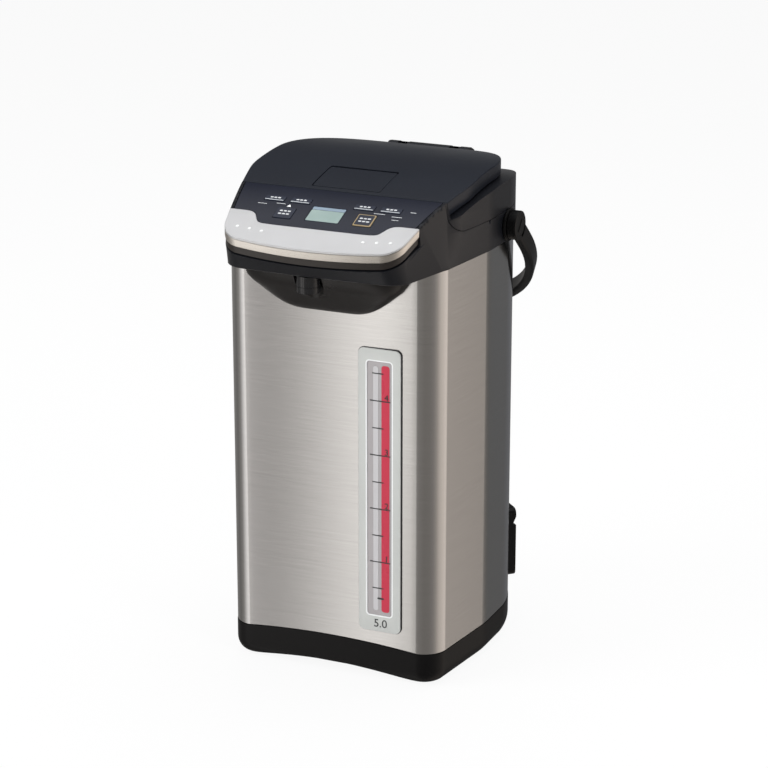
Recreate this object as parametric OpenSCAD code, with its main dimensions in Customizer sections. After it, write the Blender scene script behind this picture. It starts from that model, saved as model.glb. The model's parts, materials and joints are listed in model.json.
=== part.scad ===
// Electric thermo pot: vacuum-insulated 5 litre hot-water dispenser with an
// electric pump, hinged lid, carrying bail, sloping control panel and level gauge.
// Millimetres, +Z up, front towards -Y, origin on the table under the middle.

/* [Body] */
// width of the steel jacket
body_w = 213; // [207:1:219]
// radius of the two upright front corners
front_corner_r = 21; // [17:1:25]
// half distance between the centres of those corners
front_half = 77; // [74:0.5:79]
// depth from the front face to the centre of the round back
back_centre = 122; // [118:1:128]
// how far the front face bulges forward at its middle
front_crown = 1.6; // [1:0.1:3]
// wall of the steel jacket
jacket_wall = 1.2; // [1:0.1:1.5]
// height of the base at the sides
base_h = 29.5; // [26:0.5:33]
// rounding under the edge of the base
base_round = 12; // [9:0.5:14]
// rise of the arch in the front of the base
arch_rise = 5; // [4:0.5:7]
// half length of that arch along the front
arch_half = 80; // [74:1:86]
// wall of the moulded base
base_wall = 2.6; // [2.2:0.1:3.2]

/* [Head] */
// height of the flat underside of the head
head_bottom = 360; // [356:1:364]
// highest point of the lid
crest_z = 429.4; // [427:0.5:432]
// distance of that crest behind the front face
crest_d = 121; // [117:1:125]
// radius of the curved top, which also makes the sloping panel
top_r = 336; // [326:1:350]
// how far the lip stands out in front of the jacket
lip_reach = 45; // [41:1:49]
// half distance between the centres of the lip corners
lip_corner_x = 60.5; // [58:0.5:63]
// radius of the lip corners
lip_corner_r = 21; // [18:1:24]
// half width of the lid
lid_half = 99.5; // [98:0.5:101]
// how much lower the lip is than the collar round the jacket
lip_drop = 4; // [3:0.5:5]
// how far the collar stands out round the jacket
collar = 1.5; // [1.2:0.1:2]
// thickness of lid and panel at the edge
slab_t = 12; // [11:0.5:13]
// gap between the lid or panel and the head under it
seam_gap = 1.4; // [1.2:0.1:1.8]
// height of the silver part of the lip
trim_t = 7; // [6:0.5:8]
// wall of the moulded head
head_wall = 2.6; // [2.2:0.1:3]
// depth of the line between panel and lid behind the front face
divide_d = 29; // [27:0.5:31]

/* [Container] */
// inner radius of the water container
tank_r = 82; // [80:0.5:83]
// wall of the water container
tank_wall = 1; // [0.8:0.1:1.2]
// vacuum gap between container and outer shell
vacuum_gap = 6; // [5:0.5:7]
// height of the container floor
tank_floor = 60; // [58:1:62]
// height where the straight wall ends
tank_top = 318; // [314:1:322]
// inner radius of the container neck
neck_r = 68; // [66:0.5:69]
// inner radius of the mouth ring at its top
mouth_r = 72; // [71:0.5:73]

/* [Gauge] */
// distance of the gauge to the right of the middle
gauge_x = 46; // [42:1:50]
// width of the gauge plate
gauge_w = 38; // [34:1:42]
// lower end of the gauge plate
gauge_bottom = 46; // [42:1:50]
// height of the gauge plate
gauge_h = 250; // [240:1:256]
// width of the clear window
gauge_window_w = 24; // [20:1:26]
// rise of the water level for one litre
litre_step = 47.4; // [46:0.1:49]

/* [Spout] */
// distance of the spout from the middle
spout_x = -6; // [-10:1:0]
// distance of the spout in front of the jacket
spout_reach = 25; // [23:1:26]
// outer radius of the spout tube
spout_r = 10; // [9:0.5:11]
// bore radius of the spout tube
spout_bore_r = 6; // [5:0.5:7]
// height of the lower end of the spout
spout_bottom = 345; // [341:1:349]
// lowest point of the chin behind the spout
chin_bottom = 323; // [318:1:328]

/* [Handle] */
// height of the handle pivots
pivot_z = 378; // [374:1:381]
// distance of the pivots behind the front face
pivot_d = 125; // [120:1:130]
// radius of the pivot pins
pivot_r = 6; // [5:0.5:7]
// running clearance round a pivot pin
pivot_gap = 0.08; // [0.05:0.01:0.1]
// distance from the pivot to the middle of the grip
bail_length = 156; // [152:1:164]
// angle at which the handle hangs below level
bail_tilt = 36; // [30:1:38]
// width of the handle bar
bail_w = 17; // [14:1:19]
// thickness of the handle arms
bail_t = 8; // [6.5:0.5:9]
// radius of the handle corners
bail_corner_r = 42; // [36:1:48]

/* [Lid parts] */
// distance of the lid hinge behind the front face
hinge_d = 209; // [208:0.5:211]
// height of the lid hinge
hinge_z = 411.5; // [411:0.5:412]
// radius of the hinge pin
hinge_pin_r = 2.5; // [2:0.1:3]
// running clearance round the hinge pin
hinge_gap = 0.08; // [0.05:0.01:0.1]
// half width of the hinge housing
hinge_half = 38; // [34:1:42]
// half width of the lid lever
lever_half = 30.5; // [27:0.5:33]
// front edge of the lid lever behind the front face
lever_d = 35; // [34:0.5:37]
// length of the lid lever
lever_len = 37; // [33:1:40]
// clearance round the lever
lever_gap = 0.8; // [0.6:0.1:1]

/* [Keys] */
// clearance round each key
key_gap = 0.35; // [0.3:0.05:0.5]
// how far a key stands proud of the panel
key_proud = 0.5; // [0.3:0.1:0.8]
// length of the display window
display_w = 30; // [27:0.5:33]
// height of the display window up the slope
display_h = 20; // [17:0.5:22]

/* [Hidden] */
$fn = 48;
half_w = body_w / 2;
crest_axis = crest_z - top_r;
back_d = back_centre + half_w;
bail_back = pivot_d + (bail_length + bail_t / 2) * cos(bail_tilt) + bail_w / 2 * sin(bail_tilt);
front_y = (lip_reach - bail_back) / 2;
far = 500;
wing_d = -9;
head_top = crest_z + 1;
collar_d = 38;
rim_inset = 0.4;
fit = 0.3;
vac_r = tank_r + tank_wall + vacuum_gap;
vac_wall = 1;
tank_y = front_y + back_centre;
slab_base = slab_t + seam_gap;

// plan outlines: [front, corner x, corner y, corner r, half width, shoulder r, shoulder y, back y]
body_plan = [0, front_half, front_corner_r + front_crown, front_corner_r,
             half_w, 110, 95, back_centre];
slab_plan = [-lip_reach, lip_corner_x, -lip_reach + lip_corner_r + 4, lip_corner_r,
             lid_half, 80, 70, 110];
// underside of the lip: front, corner x, corner y, corner r
lip = [-lip_reach + 9, lip_corner_x - 0.5, -lip_reach + 32.5, lip_corner_r];

function top_z(d, t = 0) = crest_axis + sqrt(pow(top_r - t, 2) - pow(d - crest_d, 2));
function slope(d) = asin((crest_d - d) / top_r);
function arc(cx, cy, r, a0, a1, n) =
    [for (i = [0:n]) let (a = a0 + (a1 - a0) * i / n) [cx + r * cos(a), cy + r * sin(a)]];
function crown_r(p) = let (g = p[2] - p[0])
    (p[1] * p[1] + g * g - p[3] * p[3]) / (2 * (g - p[3]));
function side_angle(p) = let (vx = p[4] - p[5] - p[1], vy = p[6] - p[2], l = norm([vx, vy]))
    atan2(vy, vx) - acos((p[3] - p[5]) / l);
function back_part(p, o) = let (s = side_angle(p))
    concat(s < -1 ? arc(p[4] - p[5], p[6], p[5] + o, s * 0.75, 0, 4) : [[p[4] + o, p[6]]],
           arc(0, p[7], p[4] + o, 6, 90, 14));
function crown_part(p, o) = let (rf = crown_r(p), a0 = atan2(p[1], p[0] + rf - p[2]))
    arc(0, p[0] + rf, rf + o, -90, -90 + a0, 4);
function half_plan(p, o) = let (a0 = atan2(p[1], p[0] + crown_r(p) - p[2]))
    concat(crown_part(p, o), arc(p[1], p[2], p[3] + o, -84 + a0, side_angle(p), 10), back_part(p, o));
function mirrored(h) = concat(h, [for (i = [len(h) - 2:-1:1]) [-h[i][0], h[i][1]]]);
function plan(p, o = 0) = [for (v = mirrored(half_plan(p, o))) [v[0], v[1] + front_y]];

// underside of the head: the lip joined by flat cheeks to the collar round the jacket
cheek_angle = let (dx = front_half - lip[1], dy = body_plan[2] - lip[2])
    atan2(dy, dx) - acos((lip[3] - front_corner_r - collar) / norm([dx, dy]));
function collar_part(o) = concat([for (a = side_angle(body_plan), r = front_corner_r + collar + o,
        d = collar_d) [front_half + r * cos(a) + (d - body_plan[2] - r * sin(a)) * tan(-a), d]],
    back_part(body_plan, o + collar));
function head_foot(o) = let (a0 = atan2(lip[1], lip[0] + crown_r(lip) - lip[2]))
    concat(crown_part(lip, o), arc(lip[1], lip[2], lip[3] + o, -84 + a0, cheek_angle, 7),
           arc(front_half, body_plan[2], front_corner_r + collar + o, cheek_angle,
               side_angle(body_plan), 6), collar_part(o));
// where the walls of the head meet the trim, the edge of the panel and the lid, each [x, d, z]
function head_rim(o) = let (p = slab_plan, s = side_angle(p), x = p[1] + (p[3] + o) * cos(s),
                            d = p[2] + (p[3] + o) * sin(s), c = slab_base - 1.3,
                            a0 = atan2(p[1], p[0] + crown_r(p) - p[2]))
    concat([for (v = crown_part(p, o)) [v[0], v[1], top_z(v[1], c)]],
           [for (v = arc(p[1], p[2], p[3] + o, -84 + a0, s, 7)) [v[0], v[1], top_z(v[1], c)]],
           [for (i = [0:6]) let (e = wing_d + (divide_d - wing_d) * i / 6)
               [x + (e - d) * tan(-s), e, top_z(e) + 1.3]],
           [for (v = collar_part(o)) [v[0], v[1], head_top - 1]]);
// closed outlines of the head: at height z near its foot, and along its rim
function placed(h) = [for (v = mirrored3(h)) [v[0], v[1] + front_y, v[2]]];
function mirrored3(h) = concat(h, [for (i = [len(h) - 2:-1:1]) [-h[i][0], h[i][1], h[i][2]]]);
function foot_ring(o, z) = let (b = head_foot(o), t = head_rim(o - rim_inset))
    placed([for (i = [0:len(b) - 1]) let (k = (z - head_bottom) / (t[i][2] - head_bottom))
        [b[i][0] + k * (t[i][0] - b[i][0]), b[i][1] + k * (t[i][1] - b[i][1]), z]]);
function top_ring(o) = [for (v = placed(head_rim(o - rim_inset))) [v[0], v[1], head_top]];

module prism(p, z0, z1, o = 0) {
    translate([0, 0, z0]) linear_extrude(z1 - z0) polygon(plan(p, o));
}

// everything under the curved top, lowered by t
module under_top(t) {
    translate([-far / 2, front_y + crest_d, crest_axis]) rotate([0, 90, 0])
        cylinder(r = top_r - t, h = far, $fn = 180);
}

// layer of the curved top from t0 down to t1 within one plan outline
module layer(p, t0, t1, o = 0) {
    intersection() {
        prism(p, crest_axis + 150, crest_z + 1, o);
        difference() {
            under_top(t0);
            under_top(t1);
        }
    }
}

// box given by its limits behind the front face
module slice(x0, x1, d0, d1, z0, z1) {
    translate([x0, front_y + d0, z0]) cube([x1 - x0, d1 - d0, z1 - z0]);
}

module at(x, d, z) {
    translate([x, front_y + d, z]) children();
}

// frame lying on the curved top at distance d, its Z along the outward normal
module on_top(x, d, t = 0) {
    translate([x, front_y + d, top_z(d)]) rotate([slope(d), 0, 0]) translate([0, 0, -t]) children();
}

module rounded(w, h, r) {
    polygon([for (k = [0:3]) let (cx = (w / 2 - r) * [1, -1, -1, 1][k],
                                  cy = (h / 2 - r) * [1, 1, -1, -1][k])
        each arc(cx, cy, r, 90 * k, 90 * k + 90, 5)]);
}

// closed skin through a stack of rings of 3-D points, in triangles where the walls twist
module loft(rings, twisted = false) {
    n = len(rings[0]);
    m = len(rings);
    polyhedron(
        [for (r = rings) each r],
        concat([[for (i = [0:n - 1]) i]],
               [for (k = [0:m - 2], i = [0:n - 1])
                    let (a = k * n + i, b = k * n + (i + 1) % n)
                        each twisted ? [[a, a + n, b + n], [a, b + n, b]] : [[a, a + n, b + n, b]]],
               [[for (i = [n - 1:-1:0]) (m - 1) * n + i]]));
}
function ring(p, o, z) = [for (v = plan(p, o)) [v[0], v[1], z]];

// ---- base ----
arch_r = (arch_half * arch_half + arch_rise * arch_rise) / (2 * arch_rise);
rim_z = 1.5;
ledge_z = base_h - 4;
plate_z = 2.2;
sill_z = 6;
deck_z = ledge_z + fit;
deck_t = 3;
foot_spots = [[-62, 38], [62, 38], [-56, 172], [56, 172]];
screw_spots = [[-74, 62], [74, 62], [-72, 150], [72, 150]];

// disc along Y whose rim makes the arch, its highest line at height z
module arch_disc(z, d0, d1) {
    translate([0, front_y + d0, z - arch_r]) rotate([-90, 0, 0])
        cylinder(r = arch_r, h = d1 - d0, $fn = 360);
}
module tank_axis(z) {
    translate([0, tank_y, z]) children();
}

module base_housing() color([0.09, 0.09, 0.1]) difference() {
    union() {
        loft([for (k = [0:6]) let (a = 90 * k / 6)
            ring(body_plan, fit - base_round * 0.75 * (1 - sin(a)),
                 rim_z + base_round * (1 - cos(a)))]);
        prism(body_plan, rim_z + base_round - 0.5, base_h, fit);
        intersection() {
            prism(body_plan, base_h - 1, base_h + arch_rise + 1, fit);
            arch_disc(base_h + arch_rise, -5, 60);
        }
    }
    prism(body_plan, sill_z, ledge_z, -2 * base_wall);
    prism(body_plan, ledge_z, base_h + arch_rise + 2, -base_wall);
    prism(body_plan, -1, sill_z + 1, -16);
    arch_disc(rim_z + arch_rise, -5, 22);
}

board_z = 14;
module bottom_plate() color([0.14, 0.14, 0.15]) difference() {
    union() {
        prism(body_plan, plate_z, sill_z + 0.5, -16 - fit);
        prism(body_plan, sill_z + fit, sill_z + fit + 2, -8);
        for (x = [16, 58], d = [138, 182]) at(x, d, sill_z + 1) cylinder(r = 3, h = board_z - fit - sill_z - 1);
    }
    for (p = foot_spots) at(p[0], p[1], -1) cylinder(r = 8 + fit, h = 4.8);
    for (p = screw_spots) at(p[0], p[1], -1) {
        cylinder(r = 1.8, h = 12);
        cylinder(r = 4, h = 5.5);
    }
    for (k = [-4:4]) slice(k * 10 - 2, k * 10 + 2, 76, 132, -1, 12);
}

module foot(p) color([0.05, 0.05, 0.05]) difference() {
    at(p[0], p[1], 0) cylinder(r = 8, h = plate_z + 1.3);
    at(p[0], p[1], -1) cylinder(r = 4.5, h = 1.8);
}
module front_foot_left() { foot(foot_spots[0]); }
module front_foot_right() { foot(foot_spots[1]); }
module rear_foot_left() { foot(foot_spots[2]); }
module rear_foot_right() { foot(foot_spots[3]); }

module base_screws() color([0.6, 0.6, 0.62]) for (p = screw_spots) difference() {
    union() {
        at(p[0], p[1], plate_z + 0.2) cylinder(r = 3.2, h = 2);
        at(p[0], p[1], plate_z + 2) cylinder(r = 1.5, h = 14);
    }
    at(p[0], p[1], plate_z) {
        translate([-2.2, -0.4, 0]) cube([4.4, 0.8, 1.2]);
        translate([-0.4, -2.2, 0]) cube([0.8, 4.4, 1.2]);
    }
}

post_ring = 72;
floor_under = tank_floor - tank_wall - fit;
module chassis() color([0.2, 0.2, 0.21]) difference() {
    union() {
        prism(body_plan, deck_z, deck_z + deck_t, -base_wall - fit);
        for (p = screw_spots) at(p[0], p[1], sill_z + 2 + 2 * fit) cylinder(r = 5, h = 20);
        for (a = [45:90:315]) tank_axis(deck_z) rotate(a) translate([post_ring, 0, 0])
            cylinder(r = 4.5, h = floor_under - deck_z);
    }
    for (p = screw_spots) at(p[0], p[1], sill_z) cylinder(r = 1.55, h = 14);
    at(spout_x, pump_d, deck_z - 1) cylinder(r = 6, h = 6);
    at(34, 150, deck_z - 1) cylinder(r = 9, h = 6);
    tank_axis(deck_z - 1) cylinder(r = 9, h = 6);
}

module jacket() color([0.72, 0.69, 0.66]) difference() {
    prism(body_plan, base_h + fit, head_bottom + lip_drop + 3);
    prism(body_plan, base_h - 1, head_bottom + lip_drop + 5, -jacket_wall);
    arch_disc(base_h + arch_rise + fit, -5, 60);
    at(spout_x, -5, spout_top) rotate([-90, 0, 0]) cylinder(r = pipe_r + fit, h = 12);
    gauge_block(gauge_w - 4 + 2 * fit, gauge_h - 4 + 2 * fit, 3.3, -8, 12);
    inlet_frame() translate([half_w - 12, -inlet_w / 2 + 3 - fit, inlet_z + 3 - fit])
        cube([24, inlet_w - 6 + 2 * fit, inlet_h - 6 + 2 * fit]);
}

// ---- water container ----
neck_z = tank_top + 18;
rim_top = head_bottom - 8;

module inner_container() color([0.3, 0.3, 0.31]) difference() {
    tank_axis(0) rotate_extrude($fn = 120) polygon([
        [0, tank_floor - tank_wall], [tank_r - 5, tank_floor - tank_wall],
        [tank_r + tank_wall, tank_floor + 5], [tank_r + tank_wall, tank_top],
        [neck_r + tank_wall, neck_z], [neck_r + tank_wall, rim_top - 1.2],
        [neck_r + 7, rim_top - 1.2], [neck_r + 7, rim_top],
        [neck_r, rim_top], [neck_r, neck_z], [tank_r, tank_top],
        [tank_r, tank_floor + 5.5], [tank_r - 5.5, tank_floor], [0, tank_floor]]);
    at(spout_x, pump_d, tank_floor - 5) cylinder(r = 5, h = 10);
    at(gauge_x, gauge_feed_d, tank_floor - 5) cylinder(r = 2.5, h = 10);
}

module vacuum_shell() color([0.62, 0.62, 0.64]) {
    tank_axis(0) rotate_extrude($fn = 120) polygon([
        [tank_r + tank_wall + fit, tank_floor + 6.5], [vac_r, tank_floor + 6.5],
        [vac_r, tank_top + 1], [neck_r + 5, rim_top - 7], [neck_r + 5, rim_top - 1.5],
        [neck_r + 5 + vac_wall, rim_top - 1.5], [neck_r + 5 + vac_wall, rim_top - 6.6],
        [vac_r + vac_wall, tank_top + 1.4], [vac_r + vac_wall, tank_floor + 5.5],
        [tank_r + tank_wall + fit, tank_floor + 5.5]]);
}

module mouth_ring() color([0.85, 0.85, 0.83]) {
    tank_axis(0) rotate_extrude($fn = 120) polygon([
        [neck_r + 0.5, rim_top + fit], [neck_r + 7, rim_top + fit],
        [neck_r + 7, rim_top + 3], [neck_r + 4, rim_top + 3],
        [mouth_r + 3, mouth_top - 8], [mouth_r + 9, mouth_top - 8],
        [mouth_r + 9, mouth_top - 5.5], [mouth_r + 3, mouth_top - 5.5],
        [mouth_r + 3, mouth_top], [mouth_r, mouth_top], [mouth_r, mouth_top - 9]]);
}
mouth_top = top_z(crest_d - mouth_r - 5, slab_base) - 3.4;

module heater_plate() color([0.7, 0.7, 0.7]) difference() {
    tank_axis(floor_under - 4) cylinder(r = 66, h = 4);
    tank_axis(0) cylinder(r = 9, h = 100);
    at(spout_x, pump_d, 0) cylinder(r = 7.5, h = 100);
}
element_ring = 54;
element_r = 3.7;
module heater_element() color([0.55, 0.4, 0.3]) {
    tank_axis(floor_under - 8) rotate(-60) rotate_extrude(angle = 300)
        translate([element_ring, 0]) circle(r = element_r);
}
module heater_clamp() color([0.6, 0.6, 0.62]) difference() {
    tank_axis(floor_under - 8 - element_r - fit - 1.2) cylinder(r = element_ring + 5, h = 1.2);
    tank_axis(0) cylinder(r = 7.6, h = 100);
    at(spout_x, pump_d, 0) cylinder(r = 7.5, h = 100);
}
module thermistor() color([0.75, 0.72, 0.6]) {
    tank_axis(floor_under - 18) cylinder(r = 7, h = 18);
}

// ---- pump and pipes ----
pump_d = 88;
pump_z = deck_z + deck_t + fit;
pump_r = 24;
pump_axis_r = 1.6;
riser_d = 17;
pipe_r = 4.5;
outlet_z = pump_z + 7;
spout_top = head_bottom + 8.6;

module pump_housing() color([0.8, 0.8, 0.78]) difference() {
    union() {
        at(spout_x, pump_d, pump_z) cylinder(r = pump_r, h = 15);
        at(spout_x, riser_d + 14, outlet_z) rotate([-90, 0, 0]) cylinder(r = 6.6, h = pump_d - riser_d - 20);
    }
    at(spout_x, pump_d, pump_z + 2.5) cylinder(r = 19, h = 9.5);
    at(spout_x, pump_d, pump_z + 10) cylinder(r = 5, h = 10);
    at(spout_x, riser_d + 12, outlet_z) rotate([-90, 0, 0]) cylinder(r = 4, h = pump_d - riser_d - 26);
    at(spout_x, riser_d + 12, outlet_z) rotate([-90, 0, 0]) cylinder(r = pipe_r + 0.1, h = 16);
}
module pump_spindle() color([0.7, 0.7, 0.72]) {
    at(spout_x, pump_d, pump_z + 2.5) cylinder(r = pump_axis_r, h = 7.2);
}
module pump_impeller() color([0.9, 0.9, 0.88]) difference() {
    union() {
        at(spout_x, pump_d, pump_z + 3) cylinder(r = 16, h = 2.4);
        at(spout_x, pump_d, pump_z + 3) cylinder(r = 5, h = 6.4);
        for (a = [0:60:300]) at(spout_x, pump_d, pump_z + 5.2) rotate(a)
            translate([3.5, -0.8, 0]) cube([12, 1.6, 4.2]);
    }
    at(spout_x, pump_d, pump_z) cylinder(r = pump_axis_r + 0.06, h = 20);
}
module pump_motor() color([0.5, 0.5, 0.52]) union() {
    at(spout_x, pump_d, sill_z + 2 + 2 * fit) cylinder(r = 16, h = deck_z - fit - sill_z - 2.6);
    at(spout_x, pump_d, deck_z - 1) cylinder(r = 5.5, h = 3.4);
}
module suction_pipe() color([0.25, 0.25, 0.26]) difference() {
    at(spout_x, pump_d, pump_z + 15 + fit) cylinder(r = 6.8, h = floor_under - pump_z - 15 - fit);
    at(spout_x, pump_d, pump_z) cylinder(r = 5, h = 60);
}

// tube with two elbows: up the front of the container and forward to the spout
pipe_wall = 1.5;
elbow_extra = 0.8;
module riser_path(r, e) {
    at(spout_x, riser_d, outlet_z) rotate([-90, 0, 0]) cylinder(r = r, h = 27.6 + e);
    at(spout_x, riser_d, outlet_z) cylinder(r = r, h = spout_top - outlet_z);
    at(spout_x, 4 - spout_reach - e, spout_top) rotate([-90, 0, 0])
        cylinder(r = r, h = spout_reach + riser_d - 4 + e);
    for (z = [outlet_z, spout_top]) at(spout_x, riser_d, z) sphere(r = r + elbow_extra);
}
module riser_pipe() color([0.85, 0.83, 0.75]) difference() {
    riser_path(pipe_r, 0);
    riser_path(pipe_r - pipe_wall, 1);
}

// ---- gauge ----
window_h = gauge_h - 24;
litre_zero = tank_floor + 1.6;
tick_edge = gauge_window_w / 2 - 3;
gauge_feed_d = 62;
tube_d = 11;

// block through the front face, its rounded outline in the XZ plane
module gauge_block(w, h, r, d0, d1, lift = 0) {
    translate([gauge_x, front_y + d1, gauge_bottom + gauge_h / 2 + lift]) rotate([90, 0, 0])
        linear_extrude(d1 - d0) rounded(w, h, r);
}
module gauge_frame() color([0.78, 0.8, 0.77]) difference() {
    union() {
        gauge_block(gauge_w, gauge_h, 5, -1.4, 0);
        gauge_block(gauge_w - 4, gauge_h - 4, 3, -0.1, 5);
    }
    gauge_block(gauge_window_w, window_h, 3, -5, 20, 2);
    gauge_block(gauge_w - 8, gauge_h - 8, 2, 1.6, 20);
}
module gauge_window() color([0.85, 0.87, 0.87]) difference() {
    union() {
        gauge_block(gauge_window_w - 2 * fit, window_h - 2 * fit, 2.7, -1.1, 2.5, 2);
        gauge_block(gauge_w - 8.6, gauge_h - 8.6, 1.7, 1.9, 3, 0);
    }
    for (n = [0.5:0.5:5]) slice(gauge_x - tick_edge, gauge_x - tick_edge + (n % 1 == 0 ? 7 : 4), -2, -0.8,
                                litre_zero + n * litre_step - 0.4, litre_zero + n * litre_step + 0.4);
}
module gauge_scale() color([0.8, 0.1, 0.2]) difference() {
    gauge_block(gauge_w - 9, gauge_h - 9, 1.5, 3.3, 4.5);
    gauge_block(5, window_h - 20, 2, 2, 8, 2);
}
module level_tube() color([0.8, 0.88, 0.9]) difference() {
    at(gauge_x, tube_d, gauge_bottom + 8) cylinder(r = 4.5, h = gauge_h - 16);
    at(gauge_x, tube_d, gauge_bottom) cylinder(r = 3.3, h = gauge_h);
}
module level_tube_foot() color([0.2, 0.2, 0.2]) difference() {
    union() {
        at(gauge_x, tube_d, deck_z + deck_t + fit) cylinder(r = 5.7, h = gauge_bottom + 12 - deck_z - deck_t);
        at(gauge_x, tube_d + 4, deck_z + deck_t + fit + 7) rotate([-90, 0, 0])
            cylinder(r = 4.5, h = gauge_feed_d - tube_d - 4);
        at(gauge_x, gauge_feed_d, deck_z + deck_t + fit) cylinder(r = 4.5, h = floor_under - deck_z - deck_t - fit);
    }
    at(gauge_x, tube_d, gauge_bottom + 7.7) cylinder(r = 4.6, h = 20);
    at(gauge_x, tube_d, deck_z + deck_t + fit + 4) cylinder(r = 3, h = 40);
    at(gauge_x, tube_d, deck_z + deck_t + fit + 7) rotate([-90, 0, 0])
        cylinder(r = 2.5, h = gauge_feed_d - tube_d);
    at(gauge_x, gauge_feed_d, deck_z + deck_t + fit + 7) cylinder(r = 2.5, h = 60);
}
module level_tube_cap() color([0.2, 0.2, 0.2]) difference() {
    at(gauge_x, tube_d, gauge_bottom + gauge_h - 14) cylinder(r = 6, h = 12);
    at(gauge_x, tube_d, gauge_bottom + gauge_h - 15) cylinder(r = 4.6, h = 7.3);
}

// ---- head ----
seam_z = head_bottom + 31;
deck_hole_r = mouth_r + 6;
cheek_w = 2.8;

// everything behind and above the seam between head and rear shoulder
module rear_zone(g) {
    d = divide_d - 2 - g;
    z = seam_z - g;
    translate([0, front_y, 0]) rotate([90, 0, 90]) linear_extrude(far, center = true)
        polygon([[d, far], [d, z + 13], [d + 1.2, z + 8.5], [d + 4, z + 5], [d + 9, z + 2],
                 [d + 16, z + 0.4], [d + 24, z], [far, z], [far, far]]);
}
module head_loft(o, z) loft([foot_ring(o, z), placed(head_rim(o - rim_inset)), top_ring(o)], true);
module cheek_zone(g) difference() {
    slice(-far / 2, far / 2, wing_d + fit - g, divide_d - fit + g, head_bottom + 20, far);
    prism(slab_plan, head_bottom, far + 1, -cheek_w - g);
}
module head_solid() difference() {
    intersection() {
        head_loft(0, head_bottom);
        union() {
            under_top(slab_base);
            intersection() {
                under_top(0.15);
                cheek_zone(0);
            }
        }
    }
    intersection() {
        head_loft(-head_wall, head_bottom + head_wall);
        under_top(slab_base + head_wall);
    }
    prism(body_plan, head_bottom - 1, head_bottom + lip_drop + 3 + fit, fit);
    translate([0, front_y, 0]) rotate([90, 0, 90]) linear_extrude(far, center = true)
        polygon([[-10, head_bottom - 1], [-10, head_bottom], [6, head_bottom + lip_drop],
                 [far, head_bottom + lip_drop], [far, head_bottom - 1]]);
    tank_axis(head_bottom) cylinder(r = deck_hole_r, h = 200, $fn = 120);
    at(spout_x, -spout_reach, head_bottom - 5) cylinder(r = spout_r - 1.7, h = 12);
}
module head_shell() color([0.16, 0.16, 0.17]) difference() {
    head_solid();
    rear_zone(0.4);
    for (s = [-1, 1]) at(s * half_w, pivot_d, pivot_z) rotate([0, 90, 0])
        cylinder(r = pivot_r - 0.7, h = 12, center = true);
}
module rear_shoulder() color([0.19, 0.18, 0.18]) intersection() {
    head_solid();
    rear_zone(0);
}
module chin() color([0.2, 0.18, 0.17]) difference() {
    intersection() {
        loft([for (v = [[chin_bottom, 35, 2.2], [chin_bottom + 3, 42, 5], [chin_bottom + 8, 50, 9],
                        [chin_bottom + 15, 58.5, 14.5], [chin_bottom + 24, 66, 21],
                        [head_bottom - 3, 71, 27], [head_bottom - fit, 71.5, 28]])
            chin_ring(v[1], v[2], v[0])]);
        translate([-far / 2, front_y - far, 0]) cube([far, far - fit, far]);
    }
    prism(body_plan, chin_bottom - 5, head_bottom + 5, fit);
    at(spout_x, -spout_reach - 1, chin_bottom) cylinder(r = spout_r + 2.5, h = 60);
}
function chin_ring(w, f, z) = [for (v = mirrored([[0, -f], [w * 0.3, -f * 0.99], [w * 0.6, -f * 0.95],
    [w * 0.8, -f * 0.86], [w * 0.91, -f * 0.7], [w * 0.97, -f * 0.45], [w, -f * 0.1], [w, 6], [0, 6.2]]))
    [v[0], v[1] + front_y, z]];

module spout_nozzle() color([0.55, 0.54, 0.53]) difference() {
    union() {
        at(spout_x, -spout_reach, spout_bottom) cylinder(r = spout_r, h = head_bottom - fit - spout_bottom);
        at(spout_x, -spout_reach, head_bottom - 1) cylinder(r = spout_r - 2, h = 5);
        intersection() {
            at(spout_x, -spout_reach, head_bottom + 2) cylinder(r = 7.5, h = 20);
            under_top(slab_base + head_wall + 0.6);
        }
    }
    at(spout_x, -spout_reach, spout_bottom - 1) cylinder(r = spout_bore_r, h = 10);
    at(spout_x, -spout_reach, spout_bottom + 8) cylinder(r = pipe_r - 1.5, h = spout_top - spout_bottom - 8);
    at(spout_x, -spout_reach, spout_top) rotate([-90, 0, 0]) cylinder(r = pipe_r - 1.5, h = 20);
    at(spout_x, 3.7 - spout_reach, spout_top) rotate([-90, 0, 0]) cylinder(r = pipe_r + 0.1, h = 20);
}

// ---- control panel ----
panel_step_d = -22.5;
panel_half = 56;
key_list = [[-52, 9.5, 18, 7], [-28.5, 9.5, 18, 7], [28.5, 9.5, 18, 7], [52, 9.5, 18, 7],
            [-35.5, -8, 16, 14], [35.5, -6.5, 16, 15.5]];

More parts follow.
